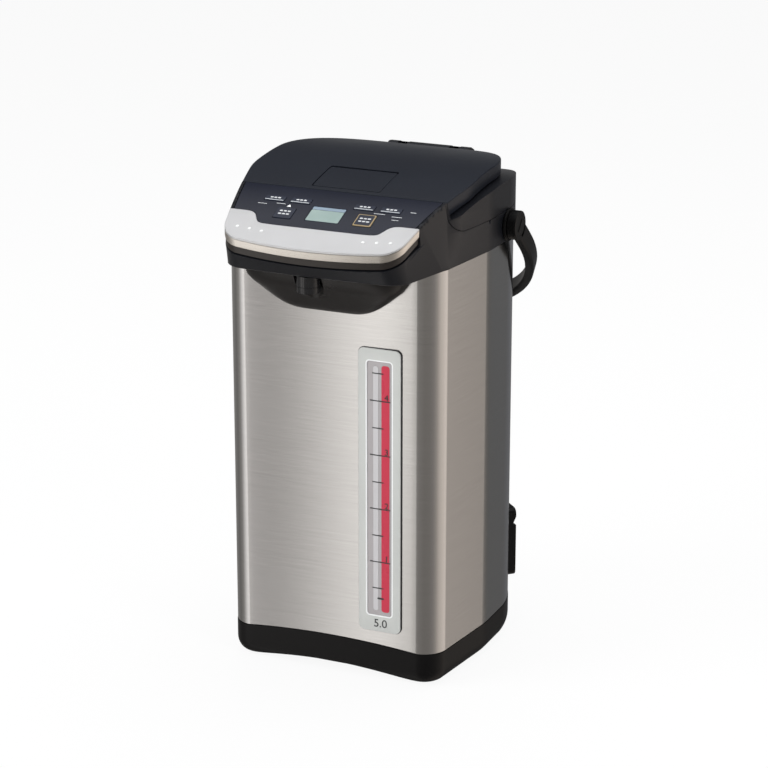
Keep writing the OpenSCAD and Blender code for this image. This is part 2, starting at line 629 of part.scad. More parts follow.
// region of the glossy panel seen from above, g smaller all round
module panel_zone(g) {
    translate([0, front_y, 300]) linear_extrude(200)
        polygon([[-far, wing_d + g], [-panel_half - 8, wing_d + g], [-panel_half - 2, wing_d - 4 + g],
                 [-panel_half + g, panel_step_d + 5 + g], [-panel_half + 3 + g, panel_step_d + 1 + g],
                 [-panel_half + 8, panel_step_d + g], [panel_half - 8, panel_step_d + g],
                 [panel_half - 3 - g, panel_step_d + 1 + g], [panel_half - g, panel_step_d + 5 + g],
                 [panel_half + 2, wing_d - 4 + g], [panel_half + 8, wing_d + g], [far, wing_d + g],
                 [far, divide_d - g], [-far, divide_d - g]]);
}
module key_hole(k, g, t0, t1) {
    on_top(k[0], k[1], t1) translate([0, 0, (t1 - t0) / 2])
        cube([k[2] + 2 * g, k[3] + 2 * g, t1 - t0], center = true);
}
module silver_trim() color([0.8, 0.8, 0.8]) union() {
    difference() {
        union() {
            layer(slab_plan, 0, 2.4);
            difference() {
                layer(slab_plan, 2.3, trim_t);
                prism(slab_plan, 300, 500, -2.4);
            }
        }
        panel_zone(0);
        slice(-far, far, wing_d, far, 0, far);
    }
    for (s = [-1, 1], k = [0:2]) on_top(s * (45 + 11.5 * k), -31 + 1.2 * k, 0.4)
        cylinder(r = 1.5, h = 0.9, $fn = 24);
}
module fascia() color([0.05, 0.06, 0.09]) difference() {
    intersection() {
        layer(slab_plan, 0.1, 2.4, -0.2);
        panel_zone(0.2);
    }
    cheek_zone(fit);
    for (k = key_list) key_hole(k, key_gap, -3, 6);
    key_hole([0, -4.5, display_w, display_h], fit, -3, 6);
}
module display_window() color([0.5, 0.56, 0.52]) {
    key_hole([0, -4.5, display_w, display_h], 0, 0.3, 2.2);
}
module display_module() color([0.25, 0.3, 0.28]) {
    key_hole([0, -4.5, display_w + 6, display_h + 2], 0, 2.7, 5.2);
}
module panel_carrier() color([0.13, 0.13, 0.14]) difference() {
    union() {
        layer(slab_plan, trim_t + 0.2, slab_t, -0.7);
        intersection() {
            layer(slab_plan, 2.6, trim_t + 0.4, -2.7);
            slice(-far, far, -60, wing_d + 1, 0, far);
        }
        intersection() {
            layer(slab_plan, 2.6, trim_t + 0.4, -0.5);
            slice(-far, far, wing_d + 0.3, far, 0, far);
        }
    }
    cheek_zone(fit);
    slice(-far, far, divide_d, far, 0, far);
    on_top(0, -1, 10) translate([-64, -17.5, 0]) cube([128, 36, 12]);
    latch_block(bolt_half + 0.6, divide_d - 5.5, divide_d + 3, bolt_t0 - 0.6, bolt_t1 + 0.6);
}
module control_board() color([0.1, 0.35, 0.2]) union() {
    on_top(0, -1, 9.4) translate([-60, -16, 0]) cube([120, 33, 1.6]);
    for (k = key_list) key_hole([k[0], k[1], 5, 5], 0, 6.5, 9.2);
    key_hole([0, -4.5, 24, 14], 0, 5.5, 9.2);
}
module key(k) key_hole(k, 0, -key_proud, 5);
module key_temperature() { color([0.12, 0.13, 0.16]) key(key_list[0]); }
module key_saving() { color([0.12, 0.13, 0.16]) key(key_list[1]); }
module key_timer() { color([0.12, 0.13, 0.16]) key(key_list[2]); }
module key_reboil() { color([0.12, 0.13, 0.16]) key(key_list[3]); }
module key_unlock() { color([0.16, 0.16, 0.18]) key(key_list[4]); }
module key_dispense() { color([0.55, 0.42, 0.25]) key(key_list[5]); }

// ---- lid ----
lid_wall = 2.6;
notch_half = hinge_half + 0.6;
barrel_r = 8;
notch_d = hinge_d - barrel_r - 1.4;
arm_x0 = 20;
arm_w = 9;
lever_axis_t = 3.6;
lever_axis_d = lever_d + lever_len - 3;
bolt_half = 8;
bolt_t0 = 5.2;
bolt_t1 = 8.4;
plug_top = mouth_top + 3.4;

// block lying along the slope of the lid front edge, for latch and keeper
module latch_block(w, d0, d1, t0, t1) {
    on_top(0, divide_d, t1) translate([-w, d0 - divide_d, 0]) cube([2 * w, d1 - d0, t1 - t0]);
}
module lid_zone(g) {
    difference() {
        slice(-far, far, divide_d + 0.5 + g, far, 300, far);
        slice(-notch_half - g, notch_half + g, notch_d - g, far, 200, far);
    }
}
module lid_cover() color([0.12, 0.12, 0.13]) difference() {
    union() {
        intersection() {
            difference() {
                layer(slab_plan, 0, slab_t);
                intersection() {
                    layer(slab_plan, lid_wall, slab_t + 3, -lid_wall);
                    lid_zone(lid_wall);
                }
            }
            lid_zone(0);
        }
        intersection() {
            for (s = [-1, 1]) slice(s * (lever_half + 3.5) - 2.2, s * (lever_half + 3.5) + 2.2,
                                    lever_axis_d - 4, lever_axis_d + 4, 300, 500);
            layer(slab_plan, 1, 7.5);
        }
        for (s = [-1, 1]) at(s * (arm_x0 + arm_w / 2), hinge_d, hinge_z) {
            rotate([0, 90, 0]) cylinder(r = 5.4, h = arm_w - 1, center = true);
            translate([-(arm_w - 1) / 2, -12, -3.5]) cube([arm_w - 1, 11.5, 7.2]);
        }
    }
    key_hole([0, lever_axis_d + 3.2 - lever_len / 2, 2 * lever_half, lever_len + 3.2], lever_gap, -8, 4.4);
    on_top(0, lever_axis_d, lever_axis_t) rotate([0, 90, 0]) cylinder(r = 1.25, h = 3 * lever_half, center = true);
    latch_block(bolt_half + 0.4, divide_d - 5, divide_d + 9, bolt_t0 - 0.4, bolt_t1 + 0.4);
    at(0, hinge_d, hinge_z) rotate([0, 90, 0]) cylinder(r = hinge_pin_r + hinge_gap, h = 90, center = true);
}
module lid_base() color([0.17, 0.17, 0.18]) difference() {
    union() {
        intersection() {
            layer(slab_plan, slab_t - 2.4, slab_t, -lid_wall - fit);
            lid_zone(lid_wall + fit);
        }
        intersection() {
            tank_axis(plug_top) cylinder(r = mouth_r + 2, h = 60, $fn = 120);
            under_top(slab_t - 1);
        }
        tank_axis(mouth_top - 8) cylinder(r = mouth_r - 3, h = plug_top - mouth_top + 8.5, $fn = 120);
    }
    tank_axis(mouth_top - 9) cylinder(r = mouth_r - 6, h = 11);
    at(0, 150, mouth_top) cylinder(r = 11.3, h = 9.6);
}
module lid_gasket() color([0.75, 0.73, 0.7]) {
    tank_axis(0) rotate_extrude($fn = 120) polygon([
        [mouth_r - 2.6, mouth_top - 1], [mouth_r - 0.6, mouth_top - 2.2], [mouth_r - 0.2, mouth_top + 0.4],
        [mouth_r + 3, mouth_top + 0.4], [mouth_r + 3.4, plug_top - 0.2], [mouth_r - 2.6, plug_top - 0.2]]);
}
module lid_inner_plate() color([0.7, 0.7, 0.71]) difference() {
    tank_axis(0) rotate_extrude($fn = 120) polygon([
        [0, mouth_top - 10], [mouth_r - 10, mouth_top - 10], [mouth_r - 6.4, mouth_top - 7],
        [mouth_r - 6.4, mouth_top - 3], [mouth_r - 7.2, mouth_top - 3], [mouth_r - 7.2, mouth_top - 6.6],
        [mouth_r - 10.3, mouth_top - 9.2], [0, mouth_top - 9.2]]);
    for (a = [0:60:300]) at(0, 150, mouth_top - 12) rotate(a) translate([6, 0, 0]) cylinder(r = 1.5, h = 6);
}
module tip_over_valve() color([0.85, 0.85, 0.85]) difference() {
    at(0, 150, mouth_top + 0.4) cylinder(r = 11, h = 8.8);
    at(0, 150, mouth_top) cylinder(r = 4, h = 5);
}
module lid_lever() color([0.14, 0.14, 0.15]) difference() {
    union() {
        intersection() {
            layer(slab_plan, 0.1, 2.4);
            slice(-lever_half, lever_half, lever_d, lever_d + lever_len, 300, 500);
        }
        for (x = [-lever_half + 0.2, lever_half - 6.2]) on_top(x, lever_axis_d, lever_axis_t) {
            rotate([0, 90, 0]) cylinder(r = 2.3, h = 6);
            translate([0, -2.3, 0]) cube([6, 4.6, 2]);
        }
        on_top(0, lever_d + 3, 4) translate([-bolt_half, -1, 0]) cube([2 * bolt_half, 3, 3]);
    }
    on_top(0, lever_axis_d, lever_axis_t) rotate([0, 90, 0])
        cylinder(r = 1.3, h = 3 * lever_half, center = true);
}
module lever_pin() color([0.7, 0.7, 0.72]) {
    on_top(0, lever_axis_d, lever_axis_t) rotate([0, 90, 0])
        cylinder(r = 1.22, h = 2 * lever_half + 10, center = true);
}
module lid_latch() color([0.6, 0.6, 0.58]) {
    latch_block(bolt_half, divide_d + 0.6, divide_d + 15, bolt_t0, bolt_t1);
}
module hinge_housing() color([0.17, 0.17, 0.18]) difference() {
    union() {
        at(0, hinge_d, hinge_z) rotate([0, 90, 0]) cylinder(r = barrel_r, h = 2 * hinge_half, center = true);
        translate([0, front_y, 0]) rotate([90, 0, 90]) linear_extrude(2 * hinge_half, center = true)
            polygon([[hinge_d, hinge_z + barrel_r - 0.05], [hinge_d + 5, hinge_z + barrel_r - 0.6],
                     [hinge_d + 12, hinge_z + 4], [back_d - 3, hinge_z - 5], [back_d - 1.5, hinge_z - 9],
                     [back_d - 1.5, hinge_z - 20], [hinge_d - 4, hinge_z - 20], [hinge_d - 4, hinge_z - 4]]);
    }
    under_top(slab_base - fit);
    for (s = [-1, 1]) at(s * (arm_x0 + arm_w / 2), hinge_d, hinge_z) {
        rotate([0, 90, 0]) cylinder(r = 9.4, h = arm_w, center = true);
        translate([-arm_w / 2, -20, -20]) cube([arm_w, 20, 40]);
    }
    at(0, hinge_d, hinge_z) rotate([0, 90, 0]) cylinder(r = hinge_pin_r + 0.05, h = 2 * hinge_half - 4, center = true);
}
module hinge_pin() color([0.7, 0.7, 0.72]) {
    at(0, hinge_d, hinge_z) rotate([0, 90, 0]) cylinder(r = hinge_pin_r, h = 2 * hinge_half - 5, center = true);
}

// ---- handle ----
boss_x = half_w + collar + fit;
eye_x = boss_x + 3;
stop_ring = 9.4;
stop_angle = 206;
lift_angle = 90 + bail_tilt;
module pivot_boss(s) color([0.1, 0.1, 0.11]) union() {
    at(s * boss_x, pivot_d, pivot_z) rotate([0, s * 90, 0]) {
        cylinder(r = 14, h = 2.4);
        translate([0, 0, -5]) cylinder(r = pivot_r - 1, h = 6);
        cylinder(r = pivot_r, h = 3 + bail_t + 1);
        translate([0, 0, 3 + bail_t + 0.5]) cylinder(r = pivot_r + 3, h = 2);
    }
    at(s * (boss_x + 3.3), pivot_d, pivot_z) rotate([stop_angle, 0, 0]) translate([0, stop_ring, 0])
        rotate([0, 90, 0]) cylinder(r = 1.3, h = 2.6, center = true);
}
module handle_pivot_left() { pivot_boss(-1); }
module handle_pivot_right() { pivot_boss(1); }
module carry_handle() color([0.1, 0.1, 0.11]) difference() {
    at(0, pivot_d, pivot_z) rotate([-bail_tilt, 0, 0]) union() {
        difference() {
            linear_extrude(bail_w, center = true) bail_outline(0);
            linear_extrude(bail_w + 2, center = true) bail_outline(bail_t);
        }
        for (s = [-1, 1]) translate([s * eye_x, 0, 0]) rotate([0, s * 90, 0])
            cylinder(r = bail_w / 2 + 4, h = bail_t);
    }
    at(0, pivot_d, pivot_z) rotate([0, 90, 0])
        cylinder(r = pivot_r + pivot_gap, h = far, center = true);
    for (s = [-1, 1]) at(s * (eye_x + 0.9), pivot_d, pivot_z) rotate([0, 90, 0])
        rotate(stop_angle - lift_angle + 80.5) rotate_extrude(angle = lift_angle + 19)
            translate([stop_ring - 1.7, -1.2]) square([3.4, 2.4]);
}
module bail_outline(o) {
    w = eye_x + bail_t - o;
    l = bail_length + bail_t / 2 - o;
    r = bail_corner_r - o;
    polygon(concat([[-w, o > 0 ? -20 : 0], [w, o > 0 ? -20 : 0]],
                   arc(w - r, l - r, r, 0, 90, 12), arc(r - w, l - r, r, 90, 180, 12)));
}

// ---- mains inlet ----
inlet_w = 46;
inlet_h = 64;
inlet_z = 36;
inlet_angle = 45;
inlet_out = 7;

// frame at the tank axis turned to the inlet, X pointing out of the body
module inlet_frame() { tank_axis(0) rotate(inlet_angle) children(); }
module inlet_housing() color([0.07, 0.07, 0.07]) difference() {
    union() {
        difference() {
            inlet_frame() translate([half_w - 20, 0, inlet_z + inlet_h / 2]) rotate([90, 0, 90])
                linear_extrude(20 + inlet_out) rounded(inlet_w, inlet_h, 5);
            prism(body_plan, 0, 200, fit);
        }
        inlet_frame() translate([half_w - 12, -inlet_w / 2 + 3, inlet_z + 3])
            cube([16, inlet_w - 6, inlet_h - 6]);
    }
    inlet_frame() translate([half_w - 9, -13, inlet_z + 12]) cube([40, 26, 22]);
    for (s = [-1, 1]) inlet_frame() translate([half_w - 24, s * 6, inlet_z + 23]) rotate([0, 90, 0])
        cylinder(r = 1.55, h = 20);
    inlet_frame() translate([half_w + inlet_out - 3, -30, inlet_z + inlet_h - 14])
        rotate([0, 25, 0]) cube([20, 60, 40]);
}
module inlet_pins() color([0.85, 0.75, 0.45]) {
    for (s = [-1, 1]) inlet_frame() translate([half_w - 14, s * 6, inlet_z + 23]) rotate([0, 90, 0])
        cylinder(r = 1.5, h = 16);
}
module power_board() color([0.12, 0.4, 0.25]) union() {
    at(12, 134, board_z) cube([50, 52, 1.6]);
    at(18, 140, board_z + 1.4) cube([14, 20, 8]);
    at(44, 158, board_z + 1.4) cylinder(r = 6, h = 9);
}

// ---- assembly ----

base_housing();
bottom_plate();
front_foot_left();
front_foot_right();
rear_foot_left();
rear_foot_right();
base_screws();
chassis();
jacket();
inner_container();
vacuum_shell();
mouth_ring();
heater_plate();
heater_element();
heater_clamp();
thermistor();
pump_housing();
pump_spindle();
pump_impeller();
pump_motor();
suction_pipe();
riser_pipe();
gauge_frame();
gauge_window();
gauge_scale();
level_tube();
level_tube_foot();
level_tube_cap();
head_shell();
rear_shoulder();
chin();
spout_nozzle();
silver_trim();
fascia();
display_window();
display_module();
panel_carrier();
control_board();
key_temperature();
key_saving();
key_timer();
key_reboil();
key_unlock();
key_dispense();
lid_cover();
lid_base();
lid_gasket();
lid_inner_plate();
tip_over_valve();
lid_lever();
lever_pin();
lid_latch();
hinge_housing();
hinge_pin();
handle_pivot_left();
handle_pivot_right();
carry_handle();
inlet_housing();
inlet_pins();
power_board();
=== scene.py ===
# Electric thermo pot: the looks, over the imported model. Sizes in millimetres:
# x to the right, d the distance behind the front face, z the height above the
# table, t the depth below the curved top of the lid and panel.
import bpy
import bmesh
import json
from collections import namedtuple
from math import acos, asin, atan2, ceil, cos, degrees, dist, hypot, pi, radians, sin, sqrt, tan
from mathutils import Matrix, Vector

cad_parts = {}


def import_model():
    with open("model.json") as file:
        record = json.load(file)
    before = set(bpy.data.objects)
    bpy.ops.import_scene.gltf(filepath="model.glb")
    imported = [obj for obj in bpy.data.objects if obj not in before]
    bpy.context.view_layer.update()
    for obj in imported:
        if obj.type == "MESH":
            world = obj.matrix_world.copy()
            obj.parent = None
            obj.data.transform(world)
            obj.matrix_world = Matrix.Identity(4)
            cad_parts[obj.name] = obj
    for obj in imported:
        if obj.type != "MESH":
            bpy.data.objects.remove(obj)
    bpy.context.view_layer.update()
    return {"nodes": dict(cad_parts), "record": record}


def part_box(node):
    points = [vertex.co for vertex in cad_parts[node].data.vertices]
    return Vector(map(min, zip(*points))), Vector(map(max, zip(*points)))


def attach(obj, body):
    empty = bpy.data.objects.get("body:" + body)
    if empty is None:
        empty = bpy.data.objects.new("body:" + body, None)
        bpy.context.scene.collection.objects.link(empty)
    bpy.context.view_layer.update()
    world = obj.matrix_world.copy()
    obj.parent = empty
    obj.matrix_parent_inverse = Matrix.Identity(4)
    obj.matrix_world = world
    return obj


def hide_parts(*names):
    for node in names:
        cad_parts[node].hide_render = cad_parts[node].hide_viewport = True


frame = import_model()
MM = 0.001
SIDES = ((-1, "left"), (1, "right"))

# ---- sizes ----
HALF_W = 106.5
FIT = 0.3
BACK_CENTRE = 122.0
FRONT_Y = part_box("silver_trim")[0][1] * 1000 + 45.0

# the curved top: a cylinder along x
CREST_Z = 429.4
CREST_D = 121.0
TOP_R = 336.0
AXIS_Z = CREST_Z - TOP_R

BASE_H = 29.5
BASE_R = 12.0
BASE_WALL = 2.6
SOLE_Z = 1.5
JACKET_WALL = 1.2
# arched line over the base, and the arch under its front edge
ARCH_RISE = 5.0
ARCH_HALF = 80.0
ARCH_R = (ARCH_HALF ** 2 + ARCH_RISE ** 2) / (2 * ARCH_RISE)
FOOT_RISE = 9.0
FOOT_R = (ARCH_HALF ** 2 + FOOT_RISE ** 2) / (2 * FOOT_RISE)

INLET_ANGLE = 45.0
INLET_HALF = 20.3
INLET_LOW = 38.7
INLET_HIGH = 97.3

HEAD_Z = 360.0
HEAD_ROWS = 12
LIP_DROP = 4.0
COLLAR = 1.5
COLLAR_D = 38.0
RIM_GAP = 0.4
RIM_LIFT = 1.3
SEAM_Z = HEAD_Z + 31

# slab: the lid, the panel and the silver lip, all one thickness
SLAB_T = 12.0
SLAB_BASE = 13.4
WING_D = -9.0
DIVIDE_D = 29.0
PANEL_GAP = 3.1

HINGE_D = 209.0
HINGE_Z = 411.5
ARM_X = 20.0
ARM_W = 9.0
LEVER_HALF = 30.5
LEVER_D = 35.0
LEVER_LEN = 37.0
AXLE_D = LEVER_D + LEVER_LEN - 3
AXLE_T = 3.6
BOLT_POCKET_T = (4.6, 9.0)

SPOUT_X = -6.0
SPOUT_D = -25.0
# (height, half width, reach before the front face) of the chin, upwards
CHIN_LEVELS = [(323, 24, 1.4), (323.3, 28, 2.4), (324, 32, 3.4), (325.5, 37, 4.9), (327.5, 41.5, 6.6),
               (330, 46, 8.3), (333, 50.3, 10.5), (336.5, 55, 13), (341, 60.3, 16.5), (345, 65.5, 19.6),
               (351, 70, 24.4), (357, 71.3, 27.2), (359.7, 71.5, 28)]

GAUGE_X = 46.0
GAUGE_W = 38.0
GAUGE_H = 250.0
GAUGE_BOTTOM = 46.0
GAUGE_Z = GAUGE_BOTTOM + GAUGE_H / 2
WINDOW_Z = GAUGE_Z + 2
WINDOW_W = 24.0
WINDOW_H = GAUGE_H - 24
LITRE_STEP = 47.4
LITRE_ZERO = 61.6

PIVOT_D = 125.0
PIVOT_Z = 378.0
PIN_R = 6.0
BORE_R = PIN_R + 0.08
BOSS_X = HALF_W + COLLAR + FIT
EYE_X = BOSS_X + 3
EYE_DEPTH = 6.4
BOW_TILT = 41.0
BOW_LENGTH = 161.0
BOW_STRAIGHT = 28.0
BOW_THICK = 8.0
BOW_WIDTH = 17.0

# a key's middle x and d, width and depth
KEYS = {"key_temperature": (-52, 9.5, 18, 7), "key_saving": (-28.5, 9.5, 18, 7),
        "key_timer": (28.5, 9.5, 18, 7), "key_reboil": (52, 9.5, 18, 7),
        "key_unlock": (-35.5, -8, 16, 14), "key_dispense": (35.5, -6.5, 16, 15.5)}
KEY_R = 1.2
KEY_GAP = 0.35
PANEL_SIGNS = [(-44, 3.6, 8, 0.6), (44, 3.8, 10, 0.6), (60, 2, 9, 0.7), (60, -2, 6, 0.6), (71, 10, 5, 0.8),
               (-60, 1.5, 8, 0.6)]
PRINT_T = 0.2
DISPLAY_D = -4.5

# outline seen from above: crowned front, round corner, wide side curve, round back
Plan = namedtuple("Plan", "front corner_x corner_d corner_r half_w side_r side_d back_d", defaults=[0] * 4)
BODY_PLAN = Plan(0, 77, 22.6, 21, HALF_W, 110, 95, BACK_CENTRE)
SLAB_PLAN = Plan(-45, 60.5, -20, 21, 99.5, 80, 70, 110)
LIP = Plan(-36, 62, -12.5, 21)
# inner edge of the silver lip, from its middle out to the wing: (x, d, share of a gap that moves it)
LIP_STEP = [(0, -22.5, 1), (48, -22.5, 1), (53.5, -21.0, 1), (56.5, -17, 0.8), (59.5, -12, 1), (65, -9, 1),
            (80, -9, 1)]


# ---- outlines ----
def top_z(d, t=0.0):
    return AXIS_Z + sqrt((TOP_R - t) ** 2 - (d - CREST_D) ** 2)


def slope(d):
    return asin((CREST_D - d) / TOP_R)


def arc(cx, cy, r, a0, a1, n):
    return [(cx + r * cos(radians(a0 + (a1 - a0) * i / n)),
             cy + r * sin(radians(a0 + (a1 - a0) * i / n))) for i in range(n + 1)]


def curve(p, corner, q, t):
    """Point at t on the bend from p to q that the corner pulls outwards."""
    return tuple((1 - t) ** 2 * p[w] + 2 * t * (1 - t) * corner[w] + t * t * q[w] for w in (0, 1))


def between(a, b, k):
    """Point at k of the way from a to b."""
    return a[0] + (b[0] - a[0]) * k, a[1] + (b[1] - a[1]) * k


def turns(pts):
    """Each point of a closed outline, between the one before and the one after it."""
    return zip(pts[-1:] + pts[:-1], pts, pts[1:] + pts[:1])


def rect(x0, y0, x1, y1):
    return [(x0, y0), (x1, y0), (x1, y1), (x0, y1)]


def rounded_rect(cx, cy, w, h, r, n=6):
    out = []
    for k in range(4):
        out += arc(cx + (w / 2 - r) * (1, -1, -1, 1)[k], cy + (h / 2 - r) * (1, 1, -1, -1)[k],
                   r, 90 * k, 90 * k + 90, n)
    return out


def rounded_corners(pts, r, n=5):
    """Closed outline with each corner replaced by a bend of about radius r."""
    out = []
    for a, b, c in turns(pts):
        la, lc = dist(a, b), dist(c, b)
        k = min(r, la * 0.49, lc * 0.49)
        p, q = between(b, a, k / la), between(b, c, k / lc)
        out += [curve(p, b, q, j / n) for j in range(n + 1)]
    return out


def soft_rect(x0, y0, x1, y1, r, n=5):
    return rounded_corners(rect(x0, y0, x1, y1), r, n)


def crown_r(p):
    g = p.corner_d - p.front
    return (p.corner_x ** 2 + g * g - p.corner_r ** 2) / (2 * (g - p.corner_r))


def crown_angle(p):
    return degrees(atan2(p.corner_x, p.front + crown_r(p) - p.corner_d))


def side_angle(p):
    """Direction in which the corner hands over to the side curve."""
    vx, vy = p.half_w - p.side_r - p.corner_x, p.side_d - p.corner_d
    lean = acos((p.corner_r - p.side_r) / hypot(vx, vy))
    return degrees(atan2(vy, vx)) - degrees(lean)


def crown(p, o):
    r = crown_r(p)
    return arc(0, p.front + r, r + o, -90, -90 + crown_angle(p), 16)


def corner(p, o, a1, n=18):
    a0 = -90 + crown_angle(p)
    return arc(p.corner_x, p.corner_d, p.corner_r + o, a0 + (a1 - a0) / n, a1, n - 1)


def back(p, o):
    side = arc(p.half_w - p.side_r, p.side_d, p.side_r + o, side_angle(p) * 0.9, 0, 8)
    return side + arc(0, p.back_d, p.half_w + o, 4, 90, 26)


def half_plan(p, o=0.0):
    """Right half of a plan, larger by o all round."""
    return crown(p, o) + corner(p, o, side_angle(p)) + back(p, o)


def mirrored(half):
    return half + [tuple([-v[0]] + list(v[1:])) for v in reversed(half[1:-1])]


def closed(half):
    """Closed outline of a right half that starts on the middle line and ends beside it."""
    return half + [(-x, d) for x, d in reversed(half[1:])]


def plan(p, o=0.0):
    return mirrored(half_plan(p, o))


def slab_side(d, o=0.0):
    """Half width of the slab at distance d."""
    half = half_plan(SLAB_PLAN, o)
    for a, b in zip(half, half[1:]):
        if a[1] <= d <= b[1] and b[0] > 40:
            return a[0] + (b[0] - a[0]) * (d - a[1]) / (b[1] - a[1])
    return half[-1][0]


def lip_edge(o=0.0):
    """Outer edge of the lip, right half, from its middle to the end of the wing."""
    return [v for v in half_plan(SLAB_PLAN, o) if v[1] < WING_D - 0.5] + [(slab_side(WING_D, o), WING_D)]


def cheek_angle():
    """Direction in which the corner of the lip hands over to the cheek."""
    dx, dy = BODY_PLAN.corner_x - LIP.corner_x, BODY_PLAN.corner_d - LIP.corner_d
    lean = acos((LIP.corner_r - BODY_PLAN.corner_r - COLLAR) / hypot(dx, dy))
    return degrees(atan2(dy, dx)) - degrees(lean)


def collar(o):
    """Outline of the head from its side to the middle of the back."""
    a = radians(side_angle(BODY_PLAN))
    r = BODY_PLAN.corner_r + COLLAR + o
    end_x, end_d = BODY_PLAN.corner_x + r * cos(a), BODY_PLAN.corner_d + r * sin(a)
    return [(end_x + (COLLAR_D - end_d) * tan(-a), COLLAR_D)] + back(BODY_PLAN, o + COLLAR)


def head_columns(o):
    """Foot point and rim point of each upright line of the head, right half."""
    foot = crown(LIP, o) + corner(LIP, o, cheek_angle(), 14)
    foot += arc(BODY_PLAN.corner_x, BODY_PLAN.corner_d, BODY_PLAN.corner_r + COLLAR + o, cheek_angle(),
                side_angle(BODY_PLAN), 12)
    slab, g, angle = SLAB_PLAN, o - RIM_GAP, side_angle(SLAB_PLAN)
    rim = [(x, d, top_z(d, SLAB_BASE - RIM_LIFT)) for x, d in crown(slab, g) + corner(slab, g, angle, 14)]
    a = radians(angle)
    x0 = slab.corner_x + (slab.corner_r + g) * cos(a)
    d0 = slab.corner_d + (slab.corner_r + g) * sin(a)
    for i in range(13):
        d = WING_D + (DIVIDE_D - WING_D) * i / 12
        rim.append((x0 + (d - d0) * tan(-a), d, top_z(d) + RIM_LIFT))
    rim += [(x, d, CREST_Z) for x, d in collar(o)]
    return foot + collar(o), rim


# ---- mesh tools ----
def add_object(name, data):
    o = bpy.data.objects.new(name, data)
    bpy.context.scene.collection.objects.link(o)
    return o


def smooth_faces(bm, sharp):
    """Smooth shading, with crisp edges where faces meet at sharp degrees or more."""
    for f in bm.faces:
        f.smooth = True
    for e in bm.edges:
        e.smooth = not (len(e.link_faces) == 2 and e.calc_face_angle(0.0) >= radians(sharp))


def new_object(name, bm, sharp=34.0):
    """Object of a closed mesh, with its faces turned outwards."""
    bmesh.ops.remove_doubles(bm, verts=bm.verts, dist=1e-7)
    bmesh.ops.recalc_face_normals(bm, faces=bm.faces)
    if bm.calc_volume(signed=True) < 0:
        bmesh.ops.reverse_faces(bm, faces=bm.faces)
    smooth_faces(bm, sharp)
    me = bpy.data.meshes.new(name)
    bm.to_mesh(me)
    bm.free()
    return add_object(name, me)


def point(v):
    return Vector((v[0] * MM, (FRONT_Y + v[1]) * MM, v[2] * MM))


def loft(name, rings, sharp=34.0, loop=False):
    """Skin through rings of (x, d, z), closed by a cap at each end or, with loop, by joining the ends."""
    bm = bmesh.new()
    rows = [[bm.verts.new(point(v)) for v in r] for r in rings]
    n = len(rows[0])
    pairs = list(zip(rows, rows[1:])) + ([(rows[-1], rows[0])] if loop else [])
    for a, b in pairs:
        for i in range(n):
            j = (i + 1) % n
            bm.faces.new((a[i], a[j], b[j], b[i]))
    if not loop:
        bm.faces.new(list(reversed(rows[0])))
        bm.faces.new(rows[-1])
    return new_object(name, bm, sharp)


def inset(pts, r):
    """Closed outline moved inwards by r along its corner normals; any turning sense."""
    area = sum(b[0] * c[1] - c[0] * b[1] for a, b, c in turns(pts))
    sign = 1.0 if area > 0 else -1.0
    out = []
    for a, b, c in turns(pts):
        u, v = dist(a, b) or 1e-9, dist(b, c) or 1e-9
        nu = ((a[1] - b[1]) / u * sign, (b[0] - a[0]) / u * sign)
        nv = ((b[1] - c[1]) / v * sign, (c[0] - b[0]) / v * sign)
        k = max(1 + nu[0] * nv[0] + nu[1] * nv[1], 0.35)
        out.append((b[0] + r * (nu[0] + nv[0]) / k, b[1] + r * (nu[1] + nv[1]) / k))
    return out


def dense(pts, step):
    """Closed outline with points no further apart than step."""
    out = []
    for a, b in zip(pts, pts[1:] + pts[:1]):
        k = max(1, ceil(dist(a, b) / step))
        out += [between(a, b, j / k) for j in range(k)]
    return out


def rounding(r, angles):
    """Inset and drop at each angle of an edge rounded by r."""
    return [(r * (1 - sin(radians(a))), r * (1 - cos(radians(a)))) for a in angles]


def cut_in_strips(bm, face, width):
    """Divides a flat face across d, so that it can follow the curved top."""
    lo = min(v.co.y for v in face.verts)
    hi = max(v.co.y for v in face.verts)
    k = int((hi - lo) / width)
    faces = [face]
    for i in range(1, k + 1):
        y = lo + (hi - lo) * i / (k + 1)
        geom = set(faces).union(*(g.edges for g in faces), *(g.verts for g in faces))
        res = bmesh.ops.bisect_plane(bm, geom=list(geom), plane_co=(0, y, 0), plane_no=(0, 1, 0), dist=1e-5)
        faces = [g for g in res["geom"] if isinstance(g, bmesh.types.BMFace)]


def under_top(x, d, t, flat):
    """Place at depth t under the curve itself, or under the plane that touches it at distance flat."""
    if flat is None:
        return point((x, d, top_z(d, t)))
    s = slope(flat)
    e = d - flat
    return point((x, flat + e * cos(s) + t * sin(s), top_z(flat) + e * sin(s) - t * cos(s)))


